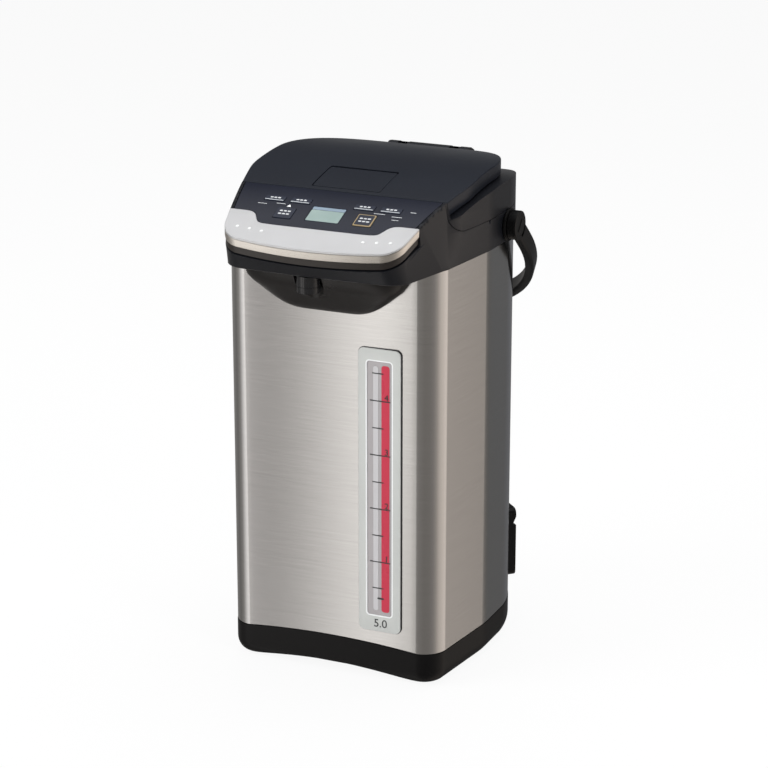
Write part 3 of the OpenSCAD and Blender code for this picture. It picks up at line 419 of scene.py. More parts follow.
def top_piece(name, outline, t0, t1, r=0.5, low_r=0.0, strips=6.0, flat=None):
    """Plate under the top from depth t0 to t1, its upper edge rounded by r and its lower one by low_r.
    flat: lie in the plane that touches the top at that distance instead of on the curve."""
    profile = [(r, t0)]
    if r > 0:
        profile += [(u, t0 + v) for u, v in rounding(r, (22, 45, 68, 90))]
    if low_r > 0:
        profile += [(v, t1 - u) for u, v in rounding(low_r, (0, 45, 90))]
    else:
        profile.append((0, t1))
    pts = dense(outline, 5.0)
    n = len(pts)
    bm = bmesh.new()
    rows = [[bm.verts.new((x, d, -t)) for x, d in inset(pts, off)] for off, t in profile]
    for a, b in zip(rows, rows[1:]):
        for i in range(n):
            bm.faces.new((a[i], a[(i + 1) % n], b[(i + 1) % n], b[i]))
    for row in (rows[0], rows[-1]):
        cut_in_strips(bm, bm.faces.new(row), strips)
    for v in bm.verts:
        v.co = under_top(v.co.x, v.co.y, -v.co.z, flat)
    bmesh.ops.triangulate(bm, faces=[f for f in bm.faces if len(f.verts) > 4])
    return new_object(name, bm)


def prism(name, outline, along, lo, hi, r=0.0):
    """Outline extruded along x, d or z between lo and hi, both ends rounded by r."""
    profile = [(r, lo)]
    if r > 0:
        profile += [(u, lo + v) for u, v in rounding(r, (30, 60, 90))]
        profile += [(u, hi - v) for u, v in rounding(r, (90, 60, 30))]
    profile.append((r, hi))
    place = {"x": lambda a, b, h: (h, a, b),
             "d": lambda a, b, h: (a, h, b),
             "z": lambda a, b, h: (a, b, h)}[along]
    rings = [[place(a, b, h) for a, b in (inset(outline, off) if off else outline)] for off, h in profile]
    return loft(name, rings)


def lathe(name, profile, centre, axis="z", n=64):
    """Profile of (radius, height) turned about an axis through centre (x, d, z)."""
    cx, cd, cz = centre
    rings = []
    for r, h in profile:
        ring = []
        for i in range(n):
            a = 2 * pi * i / n
            u, v = max(r, 0.001) * cos(a), max(r, 0.001) * sin(a)
            ring.append({"z": (cx + u, cd + v, cz + h),
                         "x": (cx + h, cd + u, cz + v),
                         "d": (cx + u, cd + h, cz + v)}[axis])
        rings.append(ring)
    return loft(name, rings)


def evaluated(o):
    """New mesh of what the object's modifiers or its text make."""
    return bpy.data.meshes.new_from_object(o.evaluated_get(bpy.context.evaluated_depsgraph_get()))


def bake(o, sharp=34.0):
    """Replaces the mesh by what its modifiers make of it."""
    me = evaluated(o)
    o.modifiers.clear()
    old = o.data
    o.data = me
    bpy.data.meshes.remove(old)
    bm = bmesh.new()
    bm.from_mesh(me)
    bmesh.ops.remove_doubles(bm, verts=bm.verts, dist=2e-6)
    bmesh.ops.dissolve_degenerate(bm, dist=1e-6, edges=bm.edges)
    smooth_faces(bm, sharp)
    bm.to_mesh(me)
    bm.free()


def boolean(o, cutters, kind="DIFFERENCE", sharp=34.0):
    for c in cutters:
        m = o.modifiers.new("cut", "BOOLEAN")
        m.operation = kind
        m.solver = "EXACT"
        m.object = c
    bake(o, sharp)
    for c in cutters:
        bpy.data.objects.remove(c)


def soften(o, width, segments, angle):
    """Rounds every edge that bends by more than the angle."""
    m = o.modifiers.new("edges", "BEVEL")
    m.width = width * MM
    m.segments = segments
    m.limit_method = "ANGLE"
    m.angle_limit = radians(angle)
    m.miter_outer = "MITER_ARC"
    m.use_clamp_overlap = True
    bake(o, 50.0)


def weighted(o):
    m = o.modifiers.new("normals", "WEIGHTED_NORMAL")
    m.keep_sharp = True
    m.weight = 60


def on_top(o):
    """Gives the faces that lie on the curved top the normals of the true curve."""
    centre = Vector((0, (FRONT_Y + CREST_D) * MM, AXIS_Z * MM))
    normals = []
    for poly in o.data.polygons:
        for i in poly.loop_indices:
            r = o.data.vertices[o.data.loops[i].vertex_index].co - centre
            r.x = 0
            n = r.normalized()
            normals.append(n if poly.normal.dot(n) > 0.999 else (0, 0, 0))
    o.data.normals_split_custom_set(normals)
    return o


def above_top(outline, t):
    """Cutter that fills everything over depth t inside the outline."""
    lo, hi, sky, strips = -60, 240, 520, 75
    bm = bmesh.new()
    bm.faces.new([bm.verts.new((x, d, 0)) for x, d in outline])
    for i in range(1, strips):
        y = lo + (hi - lo) * i / strips
        bmesh.ops.bisect_plane(bm, geom=bm.faces[:] + bm.edges[:] + bm.verts[:], plane_co=(0, y, 0),
                               plane_no=(0, 1, 0), dist=1e-5)
    res = bmesh.ops.extrude_face_region(bm, geom=bm.faces[:])
    up = {v for v in res["geom"] if isinstance(v, bmesh.types.BMVert)}
    for v in bm.verts:
        v.co = point((v.co.x, v.co.y, sky if v in up else top_z(min(max(v.co.y, lo), hi), t)))
    return new_object("cut", bm)


# ---- nodes ----
def fresh_nodes(block):
    """Emptied node tree of a material or a world."""
    block.use_nodes = True
    block.node_tree.nodes.clear()
    return block.node_tree


def feed(nt, socket, value):
    """Links a socket to another, or sets it to a colour, a vector or a number."""
    if isinstance(value, bpy.types.NodeSocket):
        nt.links.new(value, socket)
    else:
        socket.default_value = (*value, 1) if socket.type == "RGBA" else value


def wire(nt, node, values):
    """Feeds the sockets of a node by their names."""
    for name, value in values.items():
        feed(nt, node.inputs[name], value)


def new_node(nt, kind, *values, **settings):
    """Node with its settings; the values go to its first sockets, in order."""
    node = nt.nodes.new("ShaderNode" + kind)
    for key, value in settings.items():
        setattr(node, key, value)
    for socket, value in zip(node.inputs, values):
        feed(nt, socket, value)
    return node


def mix_colour(nt, fac, c0, c1):
    m = new_node(nt, "Mix", fac, data_type="RGBA")
    feed(nt, m.inputs[6], c0)
    feed(nt, m.inputs[7], c1)
    return m.outputs[2]


def mix_shader(nt, fac, a, b):
    return new_node(nt, "MixShader", fac, a, b).outputs[0]


def calc(nt, operation, a, b):
    return new_node(nt, "Math", a, b, operation=operation).outputs[0]


def background(nt, colour, strength):
    return new_node(nt, "Background", colour, strength).outputs[0]


def noise(nt, scale, detail=4.0, stretch=(1, 1, 1), rough=0.55):
    place = new_node(nt, "Mapping", new_node(nt, "TexCoord").outputs["Object"])
    feed(nt, place.inputs["Scale"], stretch)
    n = new_node(nt, "TexNoise", place.outputs[0])
    wire(nt, n, {"Scale": scale, "Detail": detail, "Roughness": rough})
    return n.outputs[0]


def span(nt, value, lo, hi, a=0.3, b=0.7):
    """Stretches a value from the range a to b to the range lo to hi."""
    return new_node(nt, "MapRange", value, a, b, lo, hi).outputs[0]


def ramp(nt, value, stops):
    """Colours spread over a value from 0 to 1: (place, colour)."""
    r = new_node(nt, "ValToRGB", value)
    made = r.color_ramp.elements
    while len(made) < len(stops):
        made.new(1.0)
    for stop, (place, colour) in zip(made, stops):
        stop.position = place
        stop.color = (*colour, 1)
    return r.outputs[0]


def bump(nt, height, strength, distance, under=None):
    b = new_node(nt, "Bump")
    wire(nt, b, {"Strength": strength, "Distance": distance, "Height": height})
    if under:
        feed(nt, b.inputs["Normal"], under)
    return b.outputs[0]


# ---- materials ----
def shade(c, k):
    return tuple(min(1.0, v * k) for v in c)


def clouded(nt, colour, low, high, cloud):
    """Colour that drifts between two shades of itself."""
    return mix_colour(nt, span(nt, cloud, 0.0, 1.0), shade(colour, low), shade(colour, high))


def material(name, build):
    m = bpy.data.materials.new(name)
    nt = fresh_nodes(m)
    b = new_node(nt, "BsdfPrincipled")
    new_node(nt, "OutputMaterial", b.outputs[0])
    build(nt, b)
    return m


def plastic(name, colour, rough, grain=0.12, grain_scale=900.0, coat=0.0, specular=0.5, vary=0.06,
            subsurface=0.0, metallic=0.0, edges=True):
    """Moulded plastic with fine grain and soft mottling. The edges switch paints a highlight on raised edges
    as a paler colour, and polishes them to a lower roughness.
    """
    def build(nt, b):
        big = noise(nt, 14.0, 3.0)
        fine = noise(nt, grain_scale, 3.0)
        base = clouded(nt, colour, 1 - vary, 1 + vary, big)
        r = span(nt, big, rough * 0.9, rough * 1.12)
        # raised edges: painted highlight as a paler colour, and real polish as a lower roughness
        if edges:
            edge = span(nt, new_node(nt, "NewGeometry").outputs["Pointiness"], 0.0, 1.0, 0.52, 0.60)
            base = mix_colour(nt, span(nt, edge, 0.0, 0.35, 0.0, 1.0), base, shade(colour, 1.35))
            r = calc(nt, "SUBTRACT", r, span(nt, edge, 0.0, 0.06, 0.0, 1.0))
        wire(nt, b, {"Base Color": base, "Roughness": r, "Metallic": metallic, "Specular IOR Level": specular,
                     "Coat Weight": coat, "Coat Roughness": 0.08,
                     "Normal": bump(nt, fine, grain, 0.00012, bump(nt, big, 0.05, 0.0006))})
        if subsurface:
            wire(nt, b, {"Subsurface Weight": subsurface, "Subsurface Radius": (0.002, 0.002, 0.002)})
    return material(name, build)


def ink(name, colour, rough=0.45):
    return plastic(name, colour, rough, grain=0.03, grain_scale=2500.0)


def metal(name, colour, rough, aniso=0.0, brush=None, vary=0.05, spin=0.0, strength=0.12):
    """Metal, fine-grained or brushed: brush is how far its marks are drawn out along x, y and z."""
    def grained(nt):
        return {"Base Color": clouded(nt, colour, 1 - vary, 1 + vary, noise(nt, 9.0, 2.0)),
                "Roughness": span(nt, noise(nt, 700.0), rough * 0.85, rough * 1.15),
                "Normal": bump(nt, noise(nt, 1200.0), strength * 0.4, 0.00003)}

    def brushed(nt):
        line = noise(nt, 60.0, 6.0, brush, 0.7)
        fine = noise(nt, 240.0, 4.0, brush, 0.6)
        return {"Base Color": clouded(nt, colour, 1 - vary, 1 + vary, line),
                "Roughness": span(nt, fine, rough * 0.85, rough * 1.2),
                "Normal": bump(nt, line, strength, 0.00003, bump(nt, fine, strength, 0.00001))}

    def build(nt, b):
        wire(nt, b, {"Metallic": 1.0, **(brushed(nt) if brush else grained(nt))})
        if aniso:
            around = new_node(nt, "Tangent", direction_type="RADIAL", axis="Z")
            wire(nt, b, {"Tangent": around.outputs[0], "Anisotropic": aniso, "Anisotropic Rotation": spin})
    return material(name, build)


def glossy_panel(name, colour, rough=0.07):
    """Printed film under gloss: blue-black with faint cloudiness and a thin clear coat."""
    def build(nt, b):
        speck = noise(nt, 2600.0, 2.0)
        wire(nt, b, {"Base Color": clouded(nt, colour, 0.9, 1.12, noise(nt, 26.0, 3.0)),
                     "Roughness": span(nt, speck, rough, rough * 2.2, 0.45, 0.75),
                     "Normal": bump(nt, speck, 0.02, 0.00004),
                     "Specular IOR Level": 0.35, "Coat Weight": 0.08, "Coat Roughness": 0.06})
    return material(name, build)


def clear(name, colour, rough=0.06):
    def build(nt, b):
        n = noise(nt, 500.0, 2.0)
        wire(nt, b, {"Base Color": colour, "Roughness": span(nt, n, rough * 0.8, rough * 1.6),
                     "Normal": bump(nt, n, 0.02, 0.00005), "Transmission Weight": 0.85, "IOR": 1.46})
    return material(name, build)


def lcd(name):
    """Resting display: pale grey-green glass."""
    def build(nt, b):
        cloud = span(nt, noise(nt, 40.0, 2.0), 0.0, 1.0)
        wire(nt, b, {"Base Color": mix_colour(nt, cloud, (0.22, 0.305, 0.285), (0.27, 0.355, 0.335)),
                     "Roughness": span(nt, noise(nt, 900.0), 0.16, 0.26),
                     "Coat Weight": 0.8, "Coat Roughness": 0.04})
    return material(name, build)


MAT = {
    "steel_jacket": metal("brushed_steel", (0.58, 0.58, 0.58), 0.21, aniso=0.9, brush=(0.35, 0.35, 26.0),
        vary=0.06, spin=0.25, strength=0.10),
    "steel_plain": metal("plain_steel", (0.62, 0.61, 0.60), 0.28),
    "coated_steel": metal("coated_container", (0.16, 0.16, 0.17), 0.45, vary=0.12),
    "black_plastic": plastic("satin_black_plastic", (0.0045, 0.0043, 0.0045), 0.34, 0.10, specular=0.16),
    "spout_gloss": plastic("spout_gloss", (0.010, 0.010, 0.011), 0.14, 0.03, 1500.0),
    "charcoal_plastic": plastic("head_plastic", (0.0078, 0.0084, 0.0108), 0.32, 0.06, specular=0.32,
        edges=False),
    "lid_plastic": plastic("lid_plastic", (0.0105, 0.0125, 0.0180), 0.34, 0.03, specular=0.24, edges=False),
    "carrier_plastic": plastic("carrier_plastic", (0.017, 0.0135, 0.0115), 0.32, 0.06, edges=False),
    "chin": plastic("chin_plastic", (0.0105, 0.0090, 0.0085), 0.30, 0.08, specular=0.34),
    "panel_gloss": glossy_panel("panel_gloss", (0.0065, 0.0085, 0.018)),
    "silver_plastic": plastic("silver_trim_top", (0.56, 0.56, 0.565), 0.30, 0.05, 1500.0, specular=0.4,
        vary=0.05, metallic=0.45, edges=False),
    "silver_band": metal("silver_trim_band", (0.78, 0.75, 0.70), 0.30, aniso=0.5, brush=(0.4, 0.4, 22.0),
        strength=0.08),
    "grey_plastic": plastic("grey_plastic", (0.27, 0.27, 0.27), 0.40, 0.08),
    "white_plastic": plastic("white_plastic", (0.72, 0.71, 0.68), 0.42, 0.08, subsurface=0.05),
    "white_print": ink("white_print", (0.75, 0.76, 0.76)),
    "grey_print": ink("grey_print", (0.36, 0.38, 0.40), 0.40),
    "sign_print": ink("sign_print", (0.50, 0.51, 0.52)),
    "dark_print": ink("dark_print", (0.03, 0.03, 0.032), 0.5),
    "gauge_plastic": plastic("gauge_plate", (0.50, 0.51, 0.49), 0.36, 0.05, 1400.0, coat=0.15),
    "gauge_lilac": plastic("gauge_back", (0.33, 0.31, 0.315), 0.30, 0.03, 1400.0, coat=0.5),
    # gauge_streak: painted highlight for the gauge tube's sheen
    "gauge_streak": plastic("painted_tube_highlight", (0.46, 0.45, 0.46), 0.2, 0.03, 1400.0, coat=0.6),
    "red_print": plastic("gauge_red", (0.47, 0.03, 0.06), 0.34, 0.03, 1400.0, coat=0.1, specular=0.3),
    "clear_plastic": clear("clear_window", (0.92, 0.93, 0.93)),
    "display": lcd("display_glass"),
    "label_strip": plastic("display_label_strip", (0.20, 0.27, 0.34), 0.25, 0.02, 2500.0, coat=0.5),
    "board": plastic("circuit_board", (0.03, 0.13, 0.06), 0.45, 0.3, 300.0),
    "rubber": plastic("rubber_feet", (0.020, 0.020, 0.020), 0.75, 0.35, 500.0, specular=0.3),
    "silicone": plastic("silicone_seal", (0.50, 0.49, 0.46), 0.50, 0.06, subsurface=0.1),
    "aluminium": metal("cast_aluminium", (0.70, 0.70, 0.70), 0.42),
    "brass": metal("contact_brass", (0.75, 0.58, 0.28), 0.26),
    "gold_key": metal("gold_key_border", (0.72, 0.56, 0.33), 0.34, vary=0.04),
    "dark_key": glossy_panel("key_film", (0.014, 0.018, 0.032), 0.16),
}
for node in frame["record"]["subparts"]:
    obj = frame["nodes"][node["node"]]
    obj.data.materials.clear()
    obj.data.materials.append(MAT[node["material_slot"]])


def piece(o, mat, body="pot", replaces=(), soft=True):
    """Dresses a piece and lets it ride its body; soft smooths its shading over flat faces."""
    o.data.materials.clear()
    o.data.materials.append(MAT[mat])
    if soft:
        weighted(o)
    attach(o, body)
    if replaces:
        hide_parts(*replaces)


# ---- base and jacket ----
def arch_z(x, d):
    """Height of the line between base and jacket, arched at the front."""
    if d > 40:
        return BASE_H
    z = BASE_H + ARCH_RISE - (ARCH_R - sqrt(max(ARCH_R ** 2 - x * x, 0)))
    return max(BASE_H, z)


def base_housing():
    """Upwards from the rounded sole to the arched edge, then down again inside."""
    rings = []
    for a in range(0, 91, 10):
        s, c = sin(radians(a)), cos(radians(a))
        foot = plan(BODY_PLAN, FIT - BASE_R * 0.75 * (1 - s))
        rings.append([(x, d, SOLE_Z + BASE_R * (1 - c)) for x, d in foot])
    low, edge = SOLE_Z + BASE_R, 0.8
    for k in (0.35, 0.7):
        rings.append([(x, d, low + (arch_z(x, d) - low - edge) * k) for x, d in plan(BODY_PLAN, FIT)])
    for off, dz in ((0, -edge), (-0.12, -0.35), (-0.4, -0.08), (-edge, 0.0), (-BASE_WALL, 0.0)):
        rings.append([(x, d, arch_z(x * HALF_W / (HALF_W + off), d) + dz)
                      for x, d in plan(BODY_PLAN, FIT + off)])
    for off, z in ((FIT - BASE_WALL, BASE_H - 4), (FIT - 8, BASE_H - 4), (-16, 2.0), (-15.4, SOLE_Z)):
        rings.append([(x, d, z) for x, d in plan(BODY_PLAN, off)])
    o = loft("base_housing_skin", rings, loop=True)
    arch = lathe("cut", [(FOOT_R, -5), (FOOT_R, 22)], (0, 0, SOLE_Z + FOOT_RISE - FOOT_R), "d", 720)
    boolean(o, [arch])
    piece(o, "black_plastic", replaces=["base_housing"])


def inlet_cut():
    """Opening in the round back, to the right, for the mains inlet."""
    a = radians(INLET_ANGLE)
    outline = [(u * cos(a) - v * sin(a), BACK_CENTRE + u * sin(a) + v * cos(a))
               for u, v in rect(HALF_W - 12, -INLET_HALF, HALF_W + 12, INLET_HALF)]
    return prism("cut", outline, "z", INLET_LOW, INLET_HIGH)


def jacket():
    top = HEAD_Z + LIP_DROP + 3
    rings = []
    for off, e in ((-JACKET_WALL, 0.25), (-0.9, 0.02), (-0.25, 0.0), (0, 0.25)):
        rings.append([(x, d, arch_z(x, d) + FIT + e) for x, d in plan(BODY_PLAN, off)])
    for off in (0, -JACKET_WALL):
        rings.append([(x, d, top) for x, d in plan(BODY_PLAN, off)])
    o = loft("jacket_skin", rings, loop=True)
    window = prism("cut", rounded_rect(GAUGE_X, GAUGE_Z, GAUGE_W - 3.4, GAUGE_H - 3.4, 3.3), "d", -8, 12)
    boolean(o, [window, inlet_cut()])
    piece(o, "steel_jacket", replaces=["jacket"])


# ---- head ----
def head_foot_z(d):
    """Underside of the head, LIP_DROP lower where it overhangs the front."""
    return HEAD_Z + LIP_DROP * min(1.0, max(0.0, (d + 10) / 16.0))


def head_rings():
    """From inside the foot, round its edge and up to the rim."""
    rings = []
    for off, e in ((-6.0, 0.0), (-1.6, 0.0), (-0.8, 0.1), (-0.3, 0.35)):
        rings.append(mirrored([(x, d, head_foot_z(d) + e) for x, d in head_columns(off)[0]]))
    foot, rim = head_columns(0.0)
    for i in range(HEAD_ROWS + 1):
        row = []
        for (x, d), (rx, rd, rz) in zip(foot, rim):
            z0 = head_foot_z(d) + 0.9
            z = z0 + (rz - z0) * (i / HEAD_ROWS)
            s = (z - HEAD_Z) / (rz - HEAD_Z)
            row.append((x + (rx - x) * s, d + (rd - d) * s, z))
        rings.append(mirrored(row))
    rings.append(mirrored([(x, d, CREST_Z + 1) for x, d, z in rim]))
    return rings


def slab_seat():
    """Everywhere but the cheeks, which rise beside the panel to the curved top."""
    d0, d1 = WING_D + FIT, DIVIDE_D - FIT
    cheek = [(slab_side(d, FIT - PANEL_GAP), d) for d in [d0] + list(range(-6, 28, 4)) + [d1]]
    right = [(200, -100), (200, d0)] + cheek + [(200, d1), (200, 300)]
    return right + [(-x, d) for x, d in reversed(right)]


def seam(g):
    """Cutter for all behind and above the seam of the rear shoulder, which bends where it turns back."""
    d, z = DIVIDE_D - 2 - g, SEAM_Z - g
    bend = [(0, 13), (0.4, 10.8), (1.2, 8.5), (2.4, 6.6), (4, 5), (6.3, 3.3), (9, 2), (12.3, 1.0), (16, 0.4),
            (24, 0)]
    outline = [(d, 500)] + [(d + u, z + v) for u, v in bend] + [(500, z), (500, 500)]
    return prism("cut", outline, "x", -200, 200)


def head_parts():
    """Lofted in one, then parted into the head shell and the rear shoulder."""
    head = loft("head_shell_skin", head_rings(), sharp=40)
    well = lathe("cut", [(78, -30), (78, 90)], (0, BACK_CENTRE, HEAD_Z), "z", 96)
    crown_cut = above_top(rect(-200, -100, 200, 300), 0.15)
    boolean(head, [crown_cut, above_top(slab_seat(), SLAB_BASE), well], sharp=40)
    body = prism("cut", plan(BODY_PLAN, FIT), "z", HEAD_Z - 5, HEAD_Z + LIP_DROP + 3.3)
    boolean(head, [body], sharp=40)
    rear = head.copy()
    rear.data = head.data.copy()
    rear.name = "rear_shoulder_skin"
    bpy.context.scene.collection.objects.link(rear)
    boolean(rear, [seam(0)], "INTERSECT", 40)
    boolean(head, [seam(0.4)], "DIFFERENCE", 40)
    holes = [lathe("cut", [(5.3, -8), (5.3, 8)], (x, PIVOT_D, PIVOT_Z), "x", 32) for x in (-HALF_W, HALF_W)]
    boolean(head, holes, sharp=40)
    for o, replaced in ((head, "head_shell"), (rear, "rear_shoulder")):
        soften(o, 0.45, 2, 42)
        piece(o, "charcoal_plastic", replaces=[replaced])


def chin_half(w, reach, n=26):
    """Right half of one level of the chin."""
    half = [(0.0, -reach)]
    for i in range(1, n):
        a = pi / 2 * i / n
        half.append((w * sin(a) ** 0.42, -reach * cos(a) ** 0.62))
    return half + [(w, 0.0), (w, 3.0), (w * 0.5, 6.0), (0.0, 6.2)]


def chin():
    rings = [[(x, d, z) for x, d in mirrored(chin_half(w, reach))] for z, w, reach in CHIN_LEVELS]
    o = loft("chin_skin", rings, sharp=60)
    body = prism("cut", plan(BODY_PLAN, FIT), "z", 300, 380)
    well = lathe("cut", [(12.5, -30), (12.5, 60)], (SPOUT_X, SPOUT_D - 1, CHIN_LEVELS[0][0]), "z", 64)
    boolean(o, [body, well], sharp=38)
    soften(o, 0.8, 3, 38)
    piece(o, "chin", replaces=["chin"])


def spout():
    """(radius, height) from inside the mouth, round its rim and up past a fine groove."""
    profile = [(0, 353), (6.0, 353), (6.0, 345.6), (6.3, 345.1), (6.9, 345.0), (9.1, 345.0), (9.7, 345.2),
               (10, 345.8), (10, 350.2), (9.8, 350.4), (9.8, 350.9), (10, 351.1), (10, 359.5), (8, 359.7),
               (8, 363.5), (0, 363.5)]
    o = lathe("spout_nozzle_skin", profile, (SPOUT_X, SPOUT_D, 0), "z", 72)
    piece(o, "spout_gloss", replaces=["spout_nozzle"])


# ---- silver lip ----
def step_half(g):
    """Inner edge of the lip, right half, moved back by g, with its corners bent round."""
    pts = [(x, d + g * share) for x, d, share in LIP_STEP]
    out = [pts[0]]
    for a, b, c in zip(pts, pts[1:], pts[2:]):
        out += [curve(between(b, a, 0.42), b, between(b, c, 0.42), t) for t in (0.0, 0.25, 0.5, 0.75, 1.0)]
    return out


def trim_top():
    half = lip_edge() + list(reversed(step_half(0.0)[1:]))
    outline = half + [step_half(0.0)[0]] + [(-x, d) for x, d in reversed(half[1:])]
    o = top_piece("silver_trim_top", outline, 0, 1.25, 0.45, strips=4.0)
    piece(on_top(o), "silver_plastic", replaces=["silver_trim"], soft=False)


def trim_band():
    """Brushed band round the edge, from wing to wing: (inset, depth) of its section at each point."""
    edge = lip_edge()
    line = [(-x, d) for x, d in reversed(edge[1:])] + edge
    section = [(0.9, 1.2), (0.35, 1.3), (0.05, 1.75), (0.0, 2.3), (0.0, 5.9), (0.15, 6.6), (0.6, 7.0),
               (2.4, 7.0), (2.4, 1.2)]
    lines = []
    for off, t in section:
        run = inset(line + [(0, 20)], off)[:-1]
        run[0] = (line[0][0] + off, line[0][1])
        run[-1] = (line[-1][0] - off, line[-1][1])
        lines.append([(x, d, top_z(d, t)) for x, d in run])
    o = loft("silver_trim_band", [list(r) for r in zip(*lines)], sharp=40)
    piece(o, "silver_band")


def tactile_dots():
    for s, side in SIDES:
        for k in range(3):
            x, d = s * (45 + 11.5 * k), -31 + 1.2 * k
            name = "tactile_dot_%s_%d" % (side, k + 1)
            dot = top_piece(name, arc(x, d, 1.5, 0, 345, 23), -0.5, 0.6, 0.5, flat=d)
            piece(dot, "white_print")


# ---- panel ----
def fascia_outline(g):
    side = [(slab_side(d, -PANEL_GAP - g), d) for d in (WING_D + g, -4, 2, 8, 14, 20, 25, DIVIDE_D - g)]
    return closed([v for v in step_half(g) if v[0] < side[0][0]] + side)


def key_outline(name, g=0.0):
    """Outline of a key, smaller by g on each side."""
    x, d, w, h = KEYS[name]
    return soft_rect(x - w / 2 + g, d - h / 2 + g, x + w / 2 - g, d + h / 2 - g, KEY_R)


def fascia():
    o = top_piece("fascia_skin", fascia_outline(0.25), 0.1, 2.4, 0.3, strips=5.0)
    cuts = [top_piece("cut", key_outline(name, -KEY_GAP), -3, 6, 0, flat=KEYS[name][1]) for name in KEYS]
    cuts.append(top_piece("cut", soft_rect(-15.3, -14.8, 15.3, 5.8, 1.3), -3, 6, 0, flat=DISPLAY_D))
    boolean(o, cuts)
    piece(on_top(o), "panel_gloss", replaces=["fascia"], soft=False)


def display():
    """Dark glass, with the pale read-out and a printed strip for its labels."""
    glass = top_piece("display_glass", soft_rect(-15, -14.5, 15, 5.5, 1.1), 0.25, 2.2, 0.25, flat=DISPLAY_D)
    piece(glass, "dark_key", replaces=["display_window"])
    readout = soft_rect(-14.5, -14.0, 14.5, 0.9, 1.0)
    piece(top_piece("display_readout", readout, 0.12, 0.6, 0.05, flat=DISPLAY_D), "display")
    strip = soft_rect(-14.5, 1.3, 14.5, 5.0, 0.8)
    piece(top_piece("display_strip", strip, 0.14, 0.6, 0.05, flat=DISPLAY_D), "label_strip")


def panel_carrier():
    half = lip_edge(-0.7) + [(slab_side(WING_D + 0.1, -3.2), WING_D + 0.1)]
    half += [(slab_side(d, -3.2), d) for d in list(range(-6, 28, 4)) + [DIVIDE_D]]
    o = top_piece("panel_carrier_skin", closed(half), 2.7, SLAB_T, 0.3, 0.5, strips=5.0)
    boolean(o, [top_piece("cut", rect(-11.6, 23.5, 11.6, 40), *BOLT_POCKET_T, 0, flat=DIVIDE_D)])
    piece(o, "carrier_plastic", replaces=["panel_carrier"])


def mark(name, outline, d, t, mat, body="pot"):
    """Thin printed mark in the plane that touches the top at d."""
    piece(top_piece(name, outline, t, t + PRINT_T, 0.0, flat=d), mat, body, soft=False)


def square_key_signs(name, x, d):
    """Two rows of three small signs."""
    for row in (0, 1):
        for k in range(3):
            u, v = x - 4.8 + 3.5 * k, d + 2.3 - 3.9 * row
            mark("%s_sign_%d_%d" % (name, row + 1, k + 1), soft_rect(u, v - 0.8, u + 2.7, v + 0.8, 0.5, 3),
                 d, -0.62, "sign_print", name)


def wide_key_signs(name, x, d):
    """A thin line, with a row of three small signs behind it."""
    mark(name + "_line", rect(x - 8.2, d - 3.0, x + 8.2, d - 1.9), d, -0.56, "grey_print", name)
    for k in range(3):
        u = x - 4.6 + 3.4 * k
        mark("%s_sign_%d" % (name, k + 1), soft_rect(u, d - 0.1, u + 2.5, d + 1.6, 0.5, 3),
             d, -0.56, "sign_print", name)


def keys():
    for name, (x, d, w, h) in KEYS.items():
        look = "gold_key" if name == "key_dispense" else "dark_key"
        cap = top_piece(name + "_cap", key_outline(name), -0.5, 5.0, 0.4, flat=d)
        piece(cap, look, body=name, replaces=[name])
        if name == "key_dispense":
            mark(name + "_face", key_outline(name, 1.1), d, -0.56, "dark_key", name)
            square_key_signs(name, x, d - 0.3)
        elif name == "key_unlock":
            square_key_signs(name, x, d)
            arrow = [(x - 1.9, d + h / 2 + 2.0), (x + 1.9, d + h / 2 + 2.0), (x, d + h / 2 + 5.0)]
            mark("panel_arrow", arrow, d, 0.02, "white_print")
        else:
            wide_key_signs(name, x, d)


def panel_signs():
    for k, (x, d, w, h) in enumerate(PANEL_SIGNS):
        mark("panel_sign_%d" % (k + 1), soft_rect(x - w / 2, d - h / 2, x + w / 2, d + h / 2, 0.3, 3),
             d, 0.02, "sign_print")


# ---- lid ----
def lid_outline():
    """Behind the panel, with a notch at the back for the hinge housing."""
    front, notch, notch_d = DIVIDE_D + 0.5, 38.6, HINGE_D - 8 - 1.4
    back_d = SLAB_PLAN.back_d + sqrt(SLAB_PLAN.half_w ** 2 - notch ** 2)
    half = [(slab_side(front), front)]
    half += [v for v in half_plan(SLAB_PLAN) if v[1] > front + 1 and v[0] > notch + 0.2]
    half += [(notch + 0.1, back_d), (notch, notch_d + 1.5), (notch - 1.5, notch_d)]
    return [(0, front)] + half + [(0, notch_d)] + [(-x, d) for x, d in reversed(half)]


def lid_cover():
    """Slab with a shallow recess for the lever and a pocket below for the bolt."""
    o = top_piece("lid_cover_skin", lid_outline(), 0, SLAB_T - 0.1, 1.0, 0.5, strips=5.0)
    gap = 0.55
    middle = AXLE_D + 3.2 - LEVER_LEN / 2
    w, h = LEVER_HALF + gap, LEVER_LEN / 2 + 1.6 + gap
    recess = top_piece("cut", soft_rect(-w, middle - h, w, middle + h, 2.2), -8, 4.4, 0, flat=middle)
    bolt = top_piece("cut", rect(-8.6, 18, 8.6, 52), *BOLT_POCKET_T, 0, flat=DIVIDE_D)
    boolean(o, [recess, bolt])
    piece(on_top(o), "lid_plastic", body="lid", replaces=["lid_cover"], soft=False)


def hinge_arms():
    half = (ARM_W - 1) / 2
    eye = [(2.1, -half), (5.0, -half), (5.4, -half + 0.4), (5.4, half - 0.4), (5.0, half), (2.1, half)]
    arm = rounded_rect(HINGE_D - 8.2, HINGE_Z + 0.1, 7.6, 7.2, 0.6)
    for s, side in SIDES:
        x = s * (ARM_X + ARM_W / 2)
        o = lathe("lid_arm_eye_" + side, eye, (x, HINGE_D, HINGE_Z), "x", 48)
        piece(o, "lid_plastic", body="lid")
        o = prism("lid_arm_" + side, arm, "x", x - half, x + half, 0.4)
        piece(o, "lid_plastic", body="lid")


